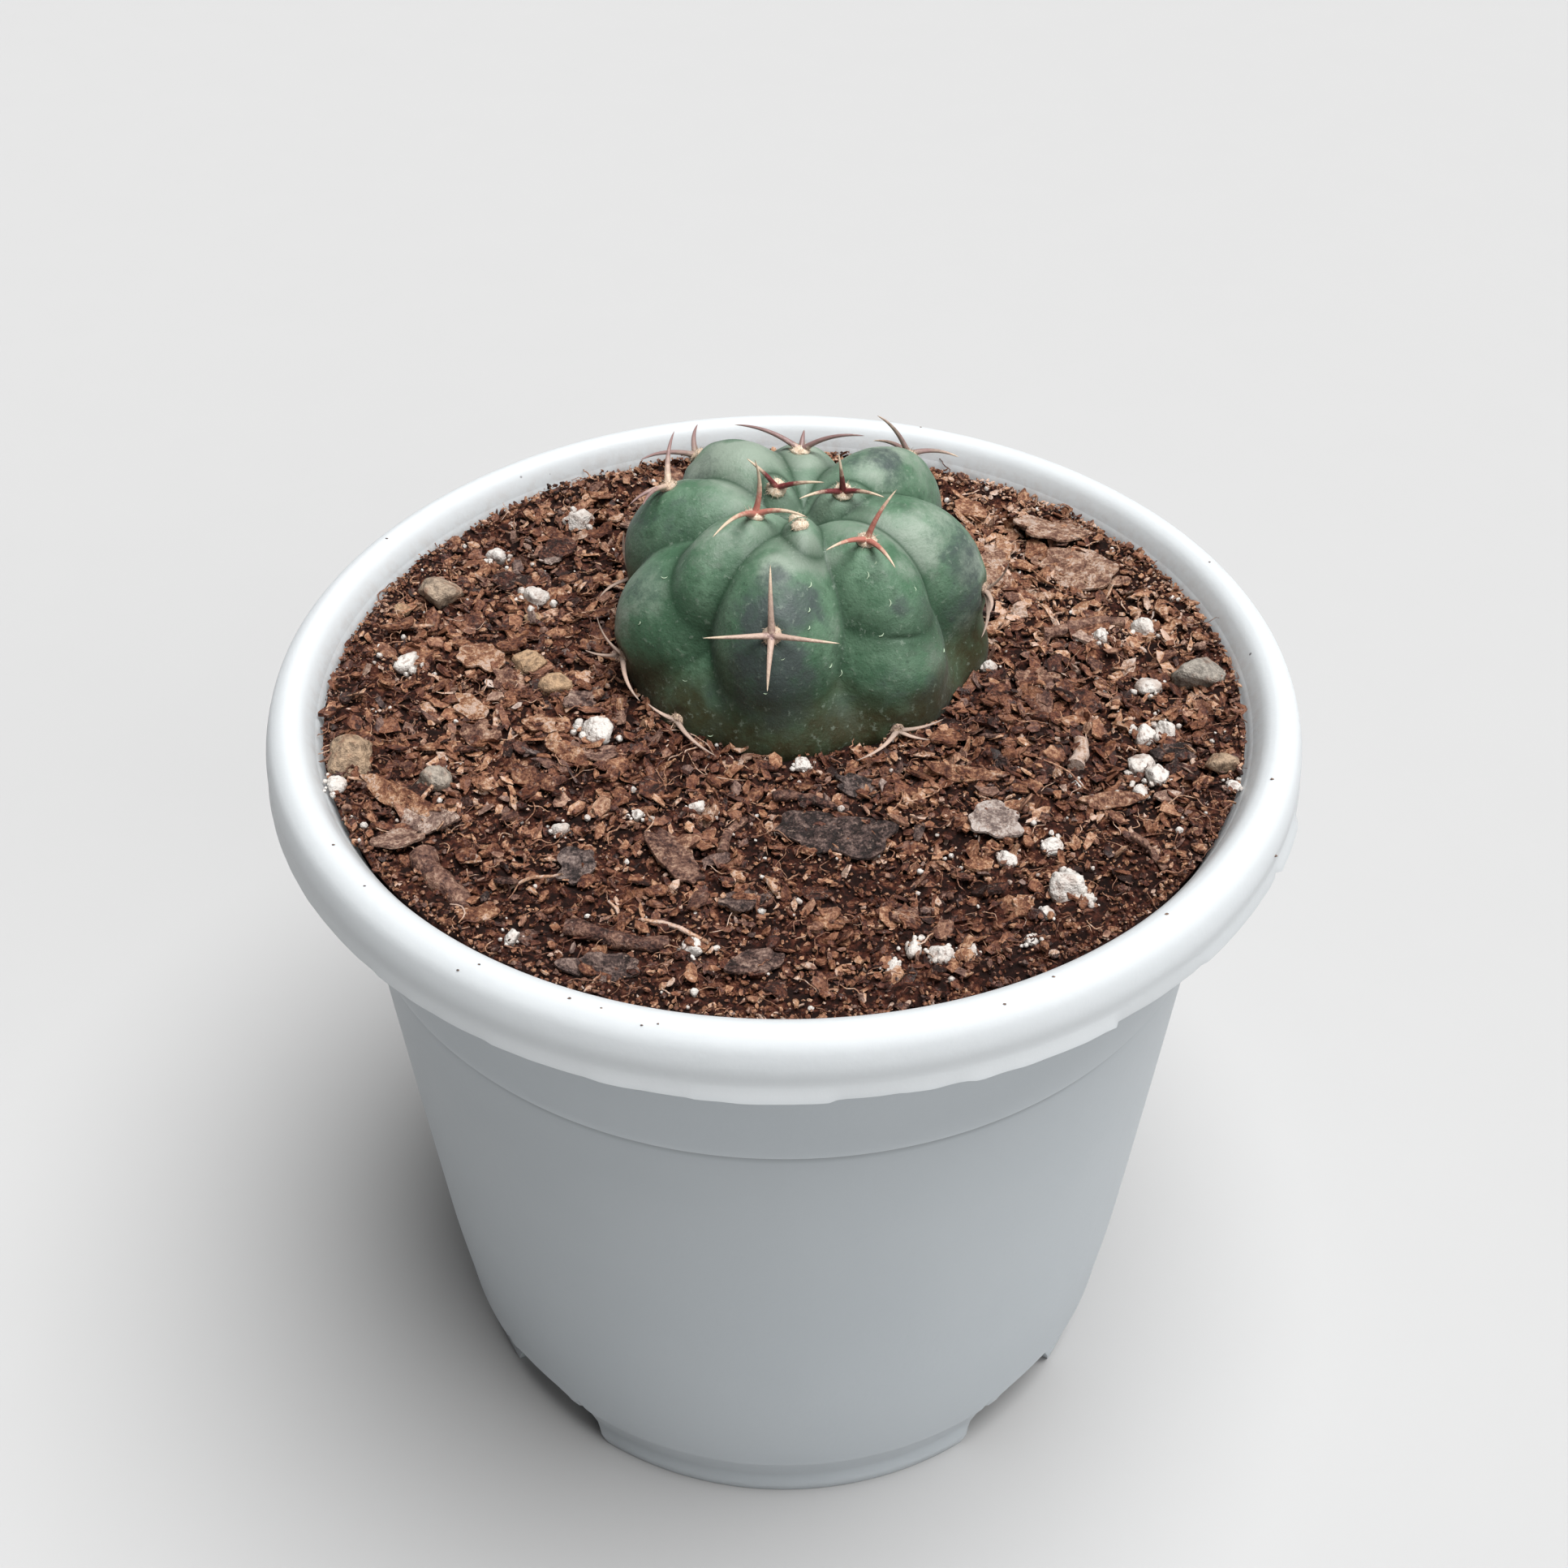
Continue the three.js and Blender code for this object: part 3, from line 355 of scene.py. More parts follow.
# Straws and long fibres: x, y, length, radius, turn, bow sideways, lift, tone
STRAWS = [
    (-9.8, -35.8, 6.8, 0.26, -27, 0.3, 0.9, 0.95), (-15.2, -33.5, 3.2, 0.2, -62, 0.2, 0.7, 0.92),
    (-23.6, -29.4, 6.9, 0.2, 3, 0.3, 0.6, 0.86), (-40.2, 10.5, 5.7, 0.3, 0, 0.2, 0.6, 0.82),
    (-39.0, -17.0, 7.2, 0.22, -24, 0.3, 1.6, 0.78), (-34.2, -17.4, 4.6, 0.24, 72, 0.5, 1.2, 0.74),
    (-34.4, -20.8, 5.2, 0.16, -50, 2.2, 0.9, 0.9), (-9.4, -8.6, 6.5, 0.08, -42, 1.2, 0.6, 0.9),
    (-6.6, -12.4, 7.5, 0.07, -38, -1.4, 0.6, 0.85), (27.2, -14.2, 6.5, 0.12, -42, 0.8, 0.8, 0.6),
    (31.0, -6.0, 3.6, 0.08, 75, 0.5, 0.5, 0.9), (-20.4, 13.6, 4.0, 0.1, 20, 0.6, 0.6, 0.85),
    (13.4, -16.4, 6.0, 0.1, 50, -1.2, 0.5, 0.75), (-25.0, -18.4, 5.0, 0.1, -80, 1.0, 0.5, 0.7),
]


# Numbers and directions


def ease(share):
    """A smooth step from 0 to 1, level at both ends: 3s² - 2s³."""
    share = np.clip(share, 0, 1)
    return share * share * (3 - 2 * share)


def between(low, high, share):
    """The value a share of the way from low to high."""
    return low + (high - low) * share


def unit(vectors):
    """The same directions at length 1."""
    return vectors / np.linalg.norm(vectors, axis=-1, keepdims=True)


def outward(angle):
    """Unit vectors away from the +Z axis at an angle."""
    return np.stack([np.sin(angle), -np.cos(angle), np.zeros_like(angle)], -1)


def rightward(angle):
    """Unit vectors at right angles to outward, towards growing angles."""
    return np.stack([np.cos(angle), np.sin(angle), np.zeros_like(angle)], -1)


def wrapped(angle):
    """The same angles from -pi to pi."""
    return (angle + np.pi) % (2 * np.pi) - np.pi


def lattice(i, j):
    """A fixed number from 0 to 1 for each point of a whole-number lattice."""
    bits = (i * 374761393 + j * 668265263) & 0xFFFFFFFF
    bits = ((bits ^ (bits >> 13)) * 1274126177) & 0xFFFFFFFF
    return (bits ^ (bits >> 16)) / 0xFFFFFFFF


def flat_noise(x, y, cell):
    """Smooth noise from -1 to 1: lattice values blended across square cells."""
    u, v = x / cell, y / cell
    i, j = np.floor(u).astype(np.int64), np.floor(v).astype(np.int64)
    s, t = ease(u - i), ease(v - j)
    near = between(lattice(i, j), lattice(i + 1, j), s)
    far = between(lattice(i, j + 1), lattice(i + 1, j + 1), s)
    return 2 * between(near, far, t) - 1


def solid_noise(points, cell):
    """Smooth noise from -1 to 1 in space: flat noise, shifted for each whole layer of z."""
    x, y, z = np.moveaxis(points / cell, -1, 0)
    layer = np.floor(z)
    low = flat_noise(x + 19.19 * layer, y - 7.73 * layer, 1.0)
    high = flat_noise(x + 19.19 * (layer + 1), y - 7.73 * (layer + 1), 1.0)
    return between(low, high, ease(z - layer))


def layered(noise, place, layers):
    """Noises at a place, each of a share and a cell size, added up."""
    return sum(share * noise(*place, cell) for share, cell in layers)


# Meshes


def ring_faces(rows, columns, start=0):
    """Quads between rows of points, each row a closed ring. Rows that go down face outwards."""
    row, column = np.meshgrid(np.arange(rows - 1), np.arange(columns), indexing="ij")
    here = start + row * columns + column
    after = start + row * columns + (column + 1) % columns
    return np.stack([here, here + columns, after + columns, after], -1).reshape(-1, 4)


def closed_faces(rows, columns):
    """Faces of a closed form: a first point, rings of points from it to the far end, a last point."""
    ring = np.arange(columns)
    after = (ring + 1) % columns
    last = rows * columns + 1
    first_cap = np.stack([0 * ring, ring + 1, after + 1], -1)
    last_cap = np.stack([0 * ring + last, last - columns + after, last - columns + ring], -1)
    return [ring_faces(rows, columns, 1), np.concatenate([first_cap, last_cap])]


def repeated(faces, size, count):
    """The same faces for each of count pieces of size points that follow one another."""
    shift = (np.arange(count) * size)[:, None, None]
    return [(group[None] + shift).reshape(-1, group.shape[1]) for group in faces]


def spread(numbers, rows, size):
    """Numbers for rows of so many points: one for each row, or those of one row again and again."""
    return np.repeat(numbers, size) if len(numbers) == rows else np.resize(numbers, rows * size)


def make_piece(name, points, faces, material, nodes=(), values=None, sharp=None):
    """A mesh from points in millimetres and arrays of corner numbers, one array for each number
    of corners. Rows of points are like pieces, each with the same faces. values are named
    numbers kept on the points; sharp is the angle, in degrees, past which an edge stays sharp.
    nodes are the CAD nodes that the piece stands for."""
    rows, size = points.shape[:2] if points.ndim == 3 else (1, len(points))
    faces = repeated(faces, size, rows)
    sizes = np.concatenate([np.full(len(group), group.shape[1]) for group in faces])
    corners = np.concatenate([group.ravel() for group in faces])
    mesh = bpy.data.meshes.new(name)
    mesh.vertices.add(rows * size)
    mesh.vertices.foreach_set("co", (points * MM).ravel())
    mesh.loops.add(len(corners))
    mesh.loops.foreach_set("vertex_index", corners.astype(np.int32))
    mesh.polygons.add(len(sizes))
    mesh.polygons.foreach_set("loop_start", (np.cumsum(sizes) - sizes).astype(np.int32))
    mesh.polygons.foreach_set("use_smooth", np.ones(len(sizes), bool))
    mesh.update(calc_edges=True)
    mesh.validate()
    if sharp is not None:
        mesh.set_sharp_from_angle(angle=math.radians(sharp))
    for key, numbers in (values or {}).items():
        layer = mesh.attributes.new(key, "FLOAT", "POINT")
        layer.data.foreach_set("value", spread(numbers, rows, size).astype(np.float32))
    mesh.materials.append(material)
    piece = bpy.data.objects.new(name, mesh)
    bpy.context.scene.collection.objects.link(piece)
    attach(piece, "root")
    if nodes:
        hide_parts(*nodes)
    return piece


def turned(points, spin, pitch, roll):
    """The points of each piece, rolled about x, pitched about y and then spun about z. The
    angles are in degrees, one for each piece."""
    spin, pitch, roll = (np.radians(np.asarray(angle, float))[:, None] for angle in (spin, pitch, roll))
    x, y, z = np.moveaxis(points, -1, 0)
    y, z = y * np.cos(roll) - z * np.sin(roll), y * np.sin(roll) + z * np.cos(roll)
    x, z = x * np.cos(pitch) + z * np.sin(pitch), z * np.cos(pitch) - x * np.sin(pitch)
    x, y = x * np.cos(spin) - y * np.sin(spin), x * np.sin(spin) + y * np.cos(spin)
    return np.stack([x, y, z], -1)


def tumbled(points, pitch, roll, random):
    """Pieces spun at random, with tilts of about the pitch and roll given in degrees."""
    spins = random.uniform(0, 360, len(points))
    return turned(points, spins, random.normal(0, pitch, len(points)), random.normal(0, roll, len(points)))


def slabs(half_length, half_width, thickness, curl, random, jag, rings, columns):
    """Irregular slabs at the origin, one row of points each. The outline is an ellipse whose
    radius is roughened by waves, drawn in by rings to the middle of the top and of the
    underside; curl lifts the two ends by the square of the way along."""
    count = len(half_length)
    angle = np.arange(columns) / columns * 2 * np.pi
    waves = np.arange(2, 9)
    phase = random.uniform(0, 2 * np.pi, (count, len(waves), 1))
    weight = random.uniform(0.4, 1.0, (count, len(waves), 1)) / waves[None, :, None] ** 0.6
    outline = 1 + jag * np.sum(weight * np.sin(waves[None, :, None] * angle + phase), 1)
    inner = np.linspace(0, 1, rings + 1)[1:]
    share = np.concatenate([inner, inner[::-1]])[None, :, None]
    side = np.concatenate([np.ones(rings), -np.ones(rings)])[None, :, None]
    level = side * (1 - 0.45 * share**4)
    x = half_length[:, None, None] * share * outline[:, None] * np.cos(angle)
    y = half_width[:, None, None] * share * outline[:, None] * np.sin(angle)
    z = thickness[:, None, None] / 2 * level * np.ones_like(x)
    rim = np.stack([x, y, z], -1).reshape(count, -1, 3)
    middle = np.zeros((count, 1, 3))
    middle[:, 0, 2] = thickness / 2
    points = np.concatenate([middle, rim, -middle], 1)
    along = points[..., 0] / half_length[:, None]
    points[..., 2] += curl[:, None] * half_length[:, None] * along**2
    return points, closed_faces(2 * rings, columns)


def unit_sphere(rings, columns):
    """Points of a unit ball: the top, rings down, the bottom."""
    fall = np.arange(1, rings + 1) / (rings + 1) * np.pi
    angle = np.arange(columns) / columns * 2 * np.pi
    ring = outward(angle)[None] * np.sin(fall)[:, None, None] + UP * np.cos(fall)[:, None, None]
    return np.concatenate([UP[None], ring.reshape(-1, 3), -UP[None]])


def stones(centres, radii, random, rings, columns, cuts, lumps):
    """Angular stones, one row of points each: a ball cut by random planes, so that the radius
    along a direction d is the least distance / (d . normal) over the planes, then roughened."""
    sphere = unit_sphere(rings, columns)
    count = len(centres)
    normals = unit(random.normal(0, 1, (count, cuts, 3)))
    distances = random.uniform(0.62, 0.98, (count, 1, cuts))
    facing = np.einsum("pk,nck->npc", sphere, normals)
    reach = np.min(distances / np.maximum(facing, 0.3), -1)
    reach = np.minimum(reach, 1.12)[..., None]
    noise = solid_noise(sphere[None] * 3.1 + centres[:, None] * 7.31, 1.0)
    noise = noise + 0.6 * solid_noise(sphere[None] * 7.3 + centres[:, None] * 3.17, 1.0)
    radii = np.asarray(radii, float).reshape(count, 1, -1)
    reach = reach * (1 + lumps * noise[..., None])
    return centres[:, None] + radii * sphere[None] * reach, closed_faces(rings, columns)


def balls(centres, radii, rings, columns, lumps, cell):
    """Lumpy balls, one row of points each: spheres whose radius is raised and lowered by noise
    of the given cell size, as a share of the radius. radii are one number or three a ball."""
    sphere = unit_sphere(rings, columns)
    centres = np.asarray(centres, float)[:, None]
    radii = np.asarray(radii, float).reshape(len(centres), 1, -1)
    noise = solid_noise(sphere[None] / cell + centres * 7.31, 1.0)
    noise = noise + 0.5 * solid_noise(sphere[None] / cell * 2.3 + centres * 3.17, 1.0)
    return centres + radii * sphere[None] * (1 + lumps * noise[..., None]), closed_faces(rings, columns)


def tubes(paths, radii, sides, flat=1.0):
    """Tubes along paths, one row of points each, with flat ends. paths is pieces x steps x 3,
    radii pieces x steps. A ring lies across the path's tangent; flat squashes it along the
    direction nearest to up."""
    tangent = unit(np.gradient(paths, axis=1))
    side = np.cross(tangent, UP)
    side = np.where(np.linalg.norm(side, axis=-1, keepdims=True) < 1e-3, [1.0, 0.0, 0.0], side)
    side = unit(side)
    above = np.cross(side, tangent)
    angle = np.arange(sides) / sides * 2 * np.pi
    ring = side[:, :, None] * np.cos(angle)[:, None] + flat * above[:, :, None] * np.sin(angle)[:, None]
    points = paths[:, :, None] + radii[:, :, None, None] * ring
    steps = paths.shape[1]
    start = np.arange(sides)[None]
    end = (steps - 1) * sides + start[:, ::-1]
    walls = ring_faces(steps, sides)[:, ::-1]
    return points.reshape(len(paths), -1, 3), [walls, np.concatenate([start, end])]


# Materials


def rgba(colour):
    return (*colour, 1.0)


def shade(colour, share):
    """A colour made darker or lighter, as a share of itself."""
    return tuple(share * part for part in colour)


class Finish:
    """A material being made: its nodes, its Object coordinates and its colour so far."""

    def __init__(self, name, roughness, specular, colour):
        self.material = bpy.data.materials.new(name)
        self.material.use_nodes = True
        self.material.diffuse_color = rgba(colour)
        self.tree = self.material.node_tree
        self.shader = self.tree.nodes["Principled BSDF"]
        self.set({"Roughness": roughness, "Specular IOR Level": specular})
        self.place = self.add("TexCoord").outputs["Object"]
        self.colour = rgba(colour)

    def fill(self, node, inputs):
        """Fills a node's inputs, each by a link or a plain value."""
        for key, value in inputs.items():
            if isinstance(value, NodeSocket):
                self.tree.links.new(value, node.inputs[key])
            else:
                node.inputs[key].default_value = value

    def set(self, inputs):
        self.fill(self.shader, inputs)

    def add(self, kind, inputs=None, **settings):
        made = self.tree.nodes.new("ShaderNode" + kind)
        for key, value in settings.items():
            setattr(made, key, value)
        self.fill(made, inputs or {})
        return made

    def noise(self, scale, detail=3.0, rough=0.55, stretch=(1, 1, 1)):
        """Noise of so many cells a metre; stretch makes the cells shorter along an axis."""
        mapped = self.add("Mapping", {"Vector": self.place, "Scale": stretch}).outputs[0]
        inputs = {"Vector": mapped, "Scale": scale, "Detail": detail, "Roughness": rough}
        return self.add("TexNoise", inputs).outputs["Fac"]

    def attribute(self, name):
        return self.add("Attribute", attribute_name=name).outputs["Fac"]

    def remap(self, value, low, high, to_low=0.0, to_high=1.0):
        """A value eased from one range to another, level past both ends."""
        inputs = {"Value": value, "From Min": low, "From Max": high, "To Min": to_low, "To Max": to_high}
        return self.add("MapRange", inputs, interpolation_type="SMOOTHSTEP").outputs[0]

    def times(self, first, second):
        return self.add("Math", {0: first, 1: second}, operation="MULTIPLY").outputs[0]

    def plus(self, first, second):
        return self.add("Math", {0: first, 1: second}, operation="ADD").outputs[0]

    def cover(self, share, colour):
        """Lays a colour over the one so far, by a share from 0 to 1."""
        factor, before, after = 0, 6, 7
        inputs = {factor: share, before: self.colour, after: rgba(colour)}
        self.colour = self.add("Mix", inputs, data_type="RGBA").outputs[2]

    def ramp(self, factor, stops):
        """Takes the colour from a factor, by (place, colour) stops."""
        made = self.add("ValToRGB", {"Fac": factor})
        elements = made.color_ramp.elements
        for element, (place, colour) in zip(elements, (stops[0], stops[-1])):
            element.position, element.color = place, rgba(colour)
        for place, colour in stops[1:-1]:
            elements.new(place).color = rgba(colour)
        self.colour = made.outputs["Color"]

    def adjust(self, **inputs):
        """Changes the Saturation or Value of the colour so far."""
        self.colour = self.add("HueSaturation", {"Color": self.colour, **inputs}).outputs[0]

    def done(self, *bumps):
        """The material, with its colour and with bump from (height, distance in metres), one on another."""
        self.set({"Base Color": self.colour})
        inputs = {}
        for height, distance in bumps:
            inputs.update({"Height": height, "Distance": distance, "Strength": 1.0})
            inputs["Normal"] = self.add("Bump", inputs).outputs[0]
        if bumps:
            self.set({"Normal": inputs["Normal"]})
        return self.material


def moulded_plastic(look):
    """White polypropylene: opaque at the rim, darker below it where the mix shows faintly through the thin
    wall and as painted shade under the rim, with painted shade under the step, a faint mould texture,
    flow marks, dark specks and soil dust inside."""
    finish = Finish("moulded_plastic", look.roughness, 0.2, look.plastic)
    height = finish.add("SeparateXYZ", {"Vector": finish.place}).outputs[2]
    level = finish.add("VectorMath", {0: finish.place, 1: (1.0, 1.0, 0.0)}, operation="MULTIPLY").outputs[0]
    radius = finish.add("VectorMath", {0: level}, operation="LENGTH").outputs["Value"]

    # Darker below the rim: the mix seen through the thin wall, and painted shade under the rim
    filled_and_shaded = finish.remap(height, *FILL_AND_SHADE_TINT)
    uneven = finish.remap(finish.noise(40, 2.0), 0.3, 0.7, -0.12, 0.0)
    finish.cover(finish.plus(filled_and_shaded, uneven), look.thin)

    # Painted shade: a dark band on the wall just under the step
    shade_under_step = finish.times(*(finish.remap(height, *tint) for tint in STEP_SHADE_TINT))
    finish.cover(finish.times(shade_under_step, 0.45), shade(look.thin, 0.4))

    inside = finish.times(finish.remap(radius, *DUST_RADIUS), finish.remap(height, *DUST_TINT))
    dusty = finish.times(inside, finish.remap(finish.noise(520, 6.0, 0.7), 0.42, 0.66))
    finish.cover(finish.times(dusty, 0.3), look.dust)

    cells = finish.add("TexVoronoi", {"Vector": finish.place, "Scale": 330.0, "Randomness": 1.0})
    chosen = finish.add("SeparateColor", {"Color": cells.outputs["Color"]}).outputs[0]
    small = finish.remap(cells.outputs["Distance"], 0.075, 0.04)
    speck = finish.times(small, finish.remap(chosen, 0.9, 0.91))
    on_rim = finish.remap(height, *SPECK_TINT)
    finish.cover(finish.times(finish.times(speck, on_rim), 0.85), look.speck)

    finish.set({"Subsurface Weight": 0.35, "Subsurface Radius": (1.0, 1.0, 1.0), "Subsurface Scale": 0.004})
    return finish.done((finish.noise(900), 0.00003), (finish.noise(110, 2.0, stretch=(1, 1, 0.3)), 0.00012))


def dirt(look):
    """Specks of dried soil, darker and lighter in places."""
    finish = Finish("dirt", 0.9, 0.2, look.speck)
    grit = finish.noise(5200)
    finish.cover(finish.remap(grit, 0.4, 0.65), look.dust)
    return finish.done((grit, 0.00005))


def soil_ground(look):
    """The fine part of the mix: dark brown grains with paler crumbs and a rough surface."""
    finish = Finish("soil_ground", 0.95, 0.2, look.dark)
    tone = finish.plus(finish.times(finish.noise(900, 6.0, 0.7), 0.7), finish.times(finish.noise(160), 0.3))
    stops = [(0.0, shade(look.dark, 0.4)), (0.35, look.dark), (0.7, look.maroon), (1.0, look.brown)]
    finish.ramp(finish.remap(tone, 0.36, 0.68), stops)
    return finish.done((finish.noise(1400, 5.0, 0.7), 0.0006))


def bark(look, name="bark", rough=0.85, grain=0.00025, worn=0.2):
    """Bark and coir: the piece's own tone, mottled and streaked by worn, some pieces ashen, with
    specks of dust, and damp places that shine a little."""
    finish = Finish(name, rough, 0.35, look.red)
    mottle = finish.noise(750, 6.0, 0.7)
    flecks = finish.noise(3000, 3.0, 0.6)
    tone = finish.plus(finish.attribute("tone"), finish.remap(mottle, 0.3, 0.7, -worn, worn))
    tone = finish.plus(tone, finish.remap(flecks, 0.3, 0.7, -0.1, 0.1))
    colours = (look.dark, look.maroon, look.red, look.brown, look.tan, look.pale)
    finish.ramp(tone, list(zip((0.0, 0.22, 0.42, 0.63, 0.84, 1.0), colours)))
    finish.adjust(Saturation=finish.remap(finish.attribute("ash"), 0.0, 1.0, 1.0, 0.3))
    dust = finish.remap(finish.noise(2100, 3.0, 0.6), 0.60, 0.68)
    finish.cover(finish.times(dust, worn), look.pale)
    finish.set({"Roughness": finish.remap(finish.noise(420), 0.42, 0.6, 0.38, rough)})
    return finish.done((mottle, grain), (flecks, 0.0001))


def perlite_stone(look):
    """Expanded perlite: off-white and chalky, with pits and a little brown dust in them."""
    finish = Finish("perlite", 0.9, 0.3, look.perlite)
    pits = finish.noise(1500, 4.0, 0.6)
    finish.cover(finish.remap(finish.noise(420), 0.45, 0.72, 0.0, 0.65), look.stain)
    finish.cover(finish.remap(pits, 0.45, 0.34, 0.0, 0.5), look.red)
    return finish.done((pits, 0.0005))


def pebble_stone(look):
    """Worn stones: grey to sandy by the piece's own tone, with darker speckles and pits."""
    finish = Finish("pebble", 0.7, 0.4, look.pebble)
    speckle = finish.noise(1300, 4.0, 0.7)
    finish.cover(finish.attribute("tone"), look.sand)
    finish.cover(finish.remap(finish.noise(380, 4.0, 0.65), 0.5, 0.66, 0.0, 0.6), look.brown)
    finish.adjust(Value=finish.remap(speckle, 0.34, 0.6, 0.5, 1.1))
    return finish.done((speckle, 0.0006))


def waxy_skin(look):
    """The plant's skin: mottled green, with the places of its blushes, partly painted shade, its bloom,
    partly painted light, its grooves, which get painted shade, young tissue and soil stains at the foot,
    with painted shade there, kept on the points, a fine grain of raised cells and a waxy bloom."""
    finish = Finish("waxy_skin", look.roughness, 0.3, look.green)
    broad = finish.noise(170, 5.0, 0.65)
    patchy = finish.noise(430, 6.0, 0.7)
    fine = finish.noise(1500, 4.0, 0.65)
    finish.cover(finish.remap(broad, 0.38, 0.62), look.light)
    finish.cover(finish.remap(patchy, 0.48, 0.66, 0.0, 0.45), look.groove)
    finish.cover(finish.remap(fine, 0.42, 0.32, 0.0, 0.4), look.groove)
    finish.cover(finish.attribute("young"), look.young)
    # Bloom patches: partly the plant's own pale waxy bloom, partly painted light; blush patches: partly its
    # own dark blush, partly painted shade
    for name, ragged in (("bloom_and_painted_light", 0.2), ("blush_and_painted_shade", -0.24)):
        edge = finish.plus(finish.attribute(name), finish.remap(patchy, 0.3, 0.7, -ragged, ragged))
        finish.cover(finish.remap(edge, 0.1, 1.0), getattr(look, name))
    # Painted shade in the grooves between the tubercles
    finish.cover(finish.times(finish.attribute("groove"), 0.9), look.groove)
    stained_and_shaded = finish.remap(patchy, 0.25, 0.65, 0.6, 1.0)
    # Darker and browner at the foot: a stain of soil, together with painted shade by the soil
    finish.cover(finish.times(finish.attribute("earth_and_painted_shade"), stained_and_shaded), look.earth_and_painted_shade)
    finish.cover(finish.remap(fine, 0.58, 0.70, 0.0, 0.35), look.bloom_and_painted_light)
    finish.set({"Sheen Weight": 0.05, "Sheen Roughness": 0.5})
    return finish.done((broad, 0.0002), (fine, 0.00008), (finish.noise(3800, 2.0), 0.00004))


def woolly_felt(look):
    """Felt: cream wool, browner where it is old, by the point's own tone."""
    finish = Finish("woolly_felt", 1.0, 0.1, look.felt)
    wool = finish.noise(2600, 4.0, 0.7)
    finish.cover(finish.attribute("tone"), look.felt_old)
    finish.cover(finish.remap(wool, 0.62, 0.36), look.felt_shade)
    return finish.done((wool, 0.0002))


def horn(name, stops, roughness):
    """Spines: colours along the length, streaked and banded a little."""
    finish = Finish(name, roughness, 0.45, stops[1][1])
    streaks = finish.noise(1700, 4.0, 0.65)
    banded = finish.remap(streaks, 0.3, 0.7, -0.13, 0.13)
    finish.ramp(finish.plus(finish.attribute("along"), banded), stops)
    return finish.done((streaks, 0.00012))


# The pot


def rounded(section, steps=4):
    """A section with its corners rounded: (1-t)² start + 2t(1-t) corner + t² end, with start and
    end on the corner's edges at its rounding, or at 45% of the edge where that is shorter."""
    corners = np.array(section, float)
    points = [corners[:1, :2]]
    share = np.linspace(0, 1, steps)[:, None]
    for before, here, after in zip(corners[:-2], corners[1:-1], corners[2:]):
        back, ahead = before[:2] - here[:2], after[:2] - here[:2]
        start = here[:2] + back * min(0.45, here[2] / np.linalg.norm(back))
        end = here[:2] + ahead * min(0.45, here[2] / np.linalg.norm(ahead))
        points.append((1 - share) ** 2 * start + 2 * share * (1 - share) * here[:2] + share**2 * end)
    points.append(corners[-1:, :2])
    return np.concatenate(points)


def arch_columns(plain):
    """Angles round the pot and how high the foot is cut away at each: half an arch, from its
    middle out, and so many steps of whole foot, mirrored and turned to the four arches."""
    knots, heights = np.array(ARCH_HALF).T
    across = np.linspace(0, knots[-1], ARCH_STEPS)
    cut = np.interp(across, knots, heights)
    angle = np.degrees(np.arcsin(across / ARCH_RADIUS))
    angle = np.concatenate([angle, np.linspace(angle[-1], 45, plain + 1)[1:]])[:-1]
    cut = np.append(cut, np.zeros(plain - 1))
    quarter = np.concatenate([-angle[:0:-1], angle])
    quarter_cut = np.concatenate([cut[:0:-1], cut])
    return np.radians((QUARTERS[:, None] + quarter).ravel()), np.tile(quarter_cut, len(QUARTERS))


def lip_flash(angle):
    """How far the lip's ragged edge stands out, in millimetres: slow noise and the stretches of
    LIP_FLASH, each of which begins and ends within half a degree."""
    turn = np.degrees(angle)
    depth = 0.05 + 0.03 * flat_noise(turn, 0 * turn, 7.0) + 0.02 * flat_noise(turn, 0 * turn + 5, 1.7)
    for start, end, extra in LIP_FLASH:
        for whole in (0, 360):
            within = ease((turn - start - whole) / 0.5 + 0.5) * ease((end + whole - turn) / 0.5 + 0.5)
            depth += extra * within * (1 + 0.2 * flat_noise(turn, 0 * turn + 9, 2.3))
    return np.minimum(depth, 0.5)


def pot_points(plain):
    """The pot as a section carried round the axis. Below 12 mm the rows are squeezed above the
    arches, and the radius is read off the foot's section at the squeezed height."""
    angle, cut = arch_columns(plain)
    upper = np.concatenate([rounded(POT_INSIDE)[1:], rounded(POT_OUTSIDE)[1:]])
    radius = np.repeat(upper[:, :1], len(angle), 1)
    height = np.repeat(upper[:, 1:], len(angle), 1)
    lip = np.exp(-((radius - LIP_EDGE[0]) ** 2 + (height - LIP_EDGE[1]) ** 2) / LIP_SPREAD)
    flash = lip_flash(angle)
    radius = radius + lip * flash
    height = height - 0.5 * lip * flash
    foot = rounded(FOOT_OUTSIDE)
    top = foot[0, 1]
    foot_height = cut + foot[1:, 1:] * (top - cut) / top
    foot_radius = np.interp(foot_height, foot[::-1, 1], foot[::-1, 0])
    inner_height = np.stack([cut, np.full(len(cut), FLOOR_UNDERSIDE)])
    inner_radius = np.full(inner_height.shape, FOOT_INSIDE)
    radius = np.concatenate([radius, foot_radius, inner_radius])
    height = np.concatenate([height, foot_height, inner_height])
    rows = outward(angle)[None] * radius[..., None] + UP * height[..., None]
    ends = np.array([[0, 0, POT_INSIDE[0][1]], [0, 0, FLOOR_UNDERSIDE]])
    points = np.concatenate([ends[:1], rows.reshape(-1, 3), ends[1:]])
    return points, closed_faces(len(rows), len(angle))


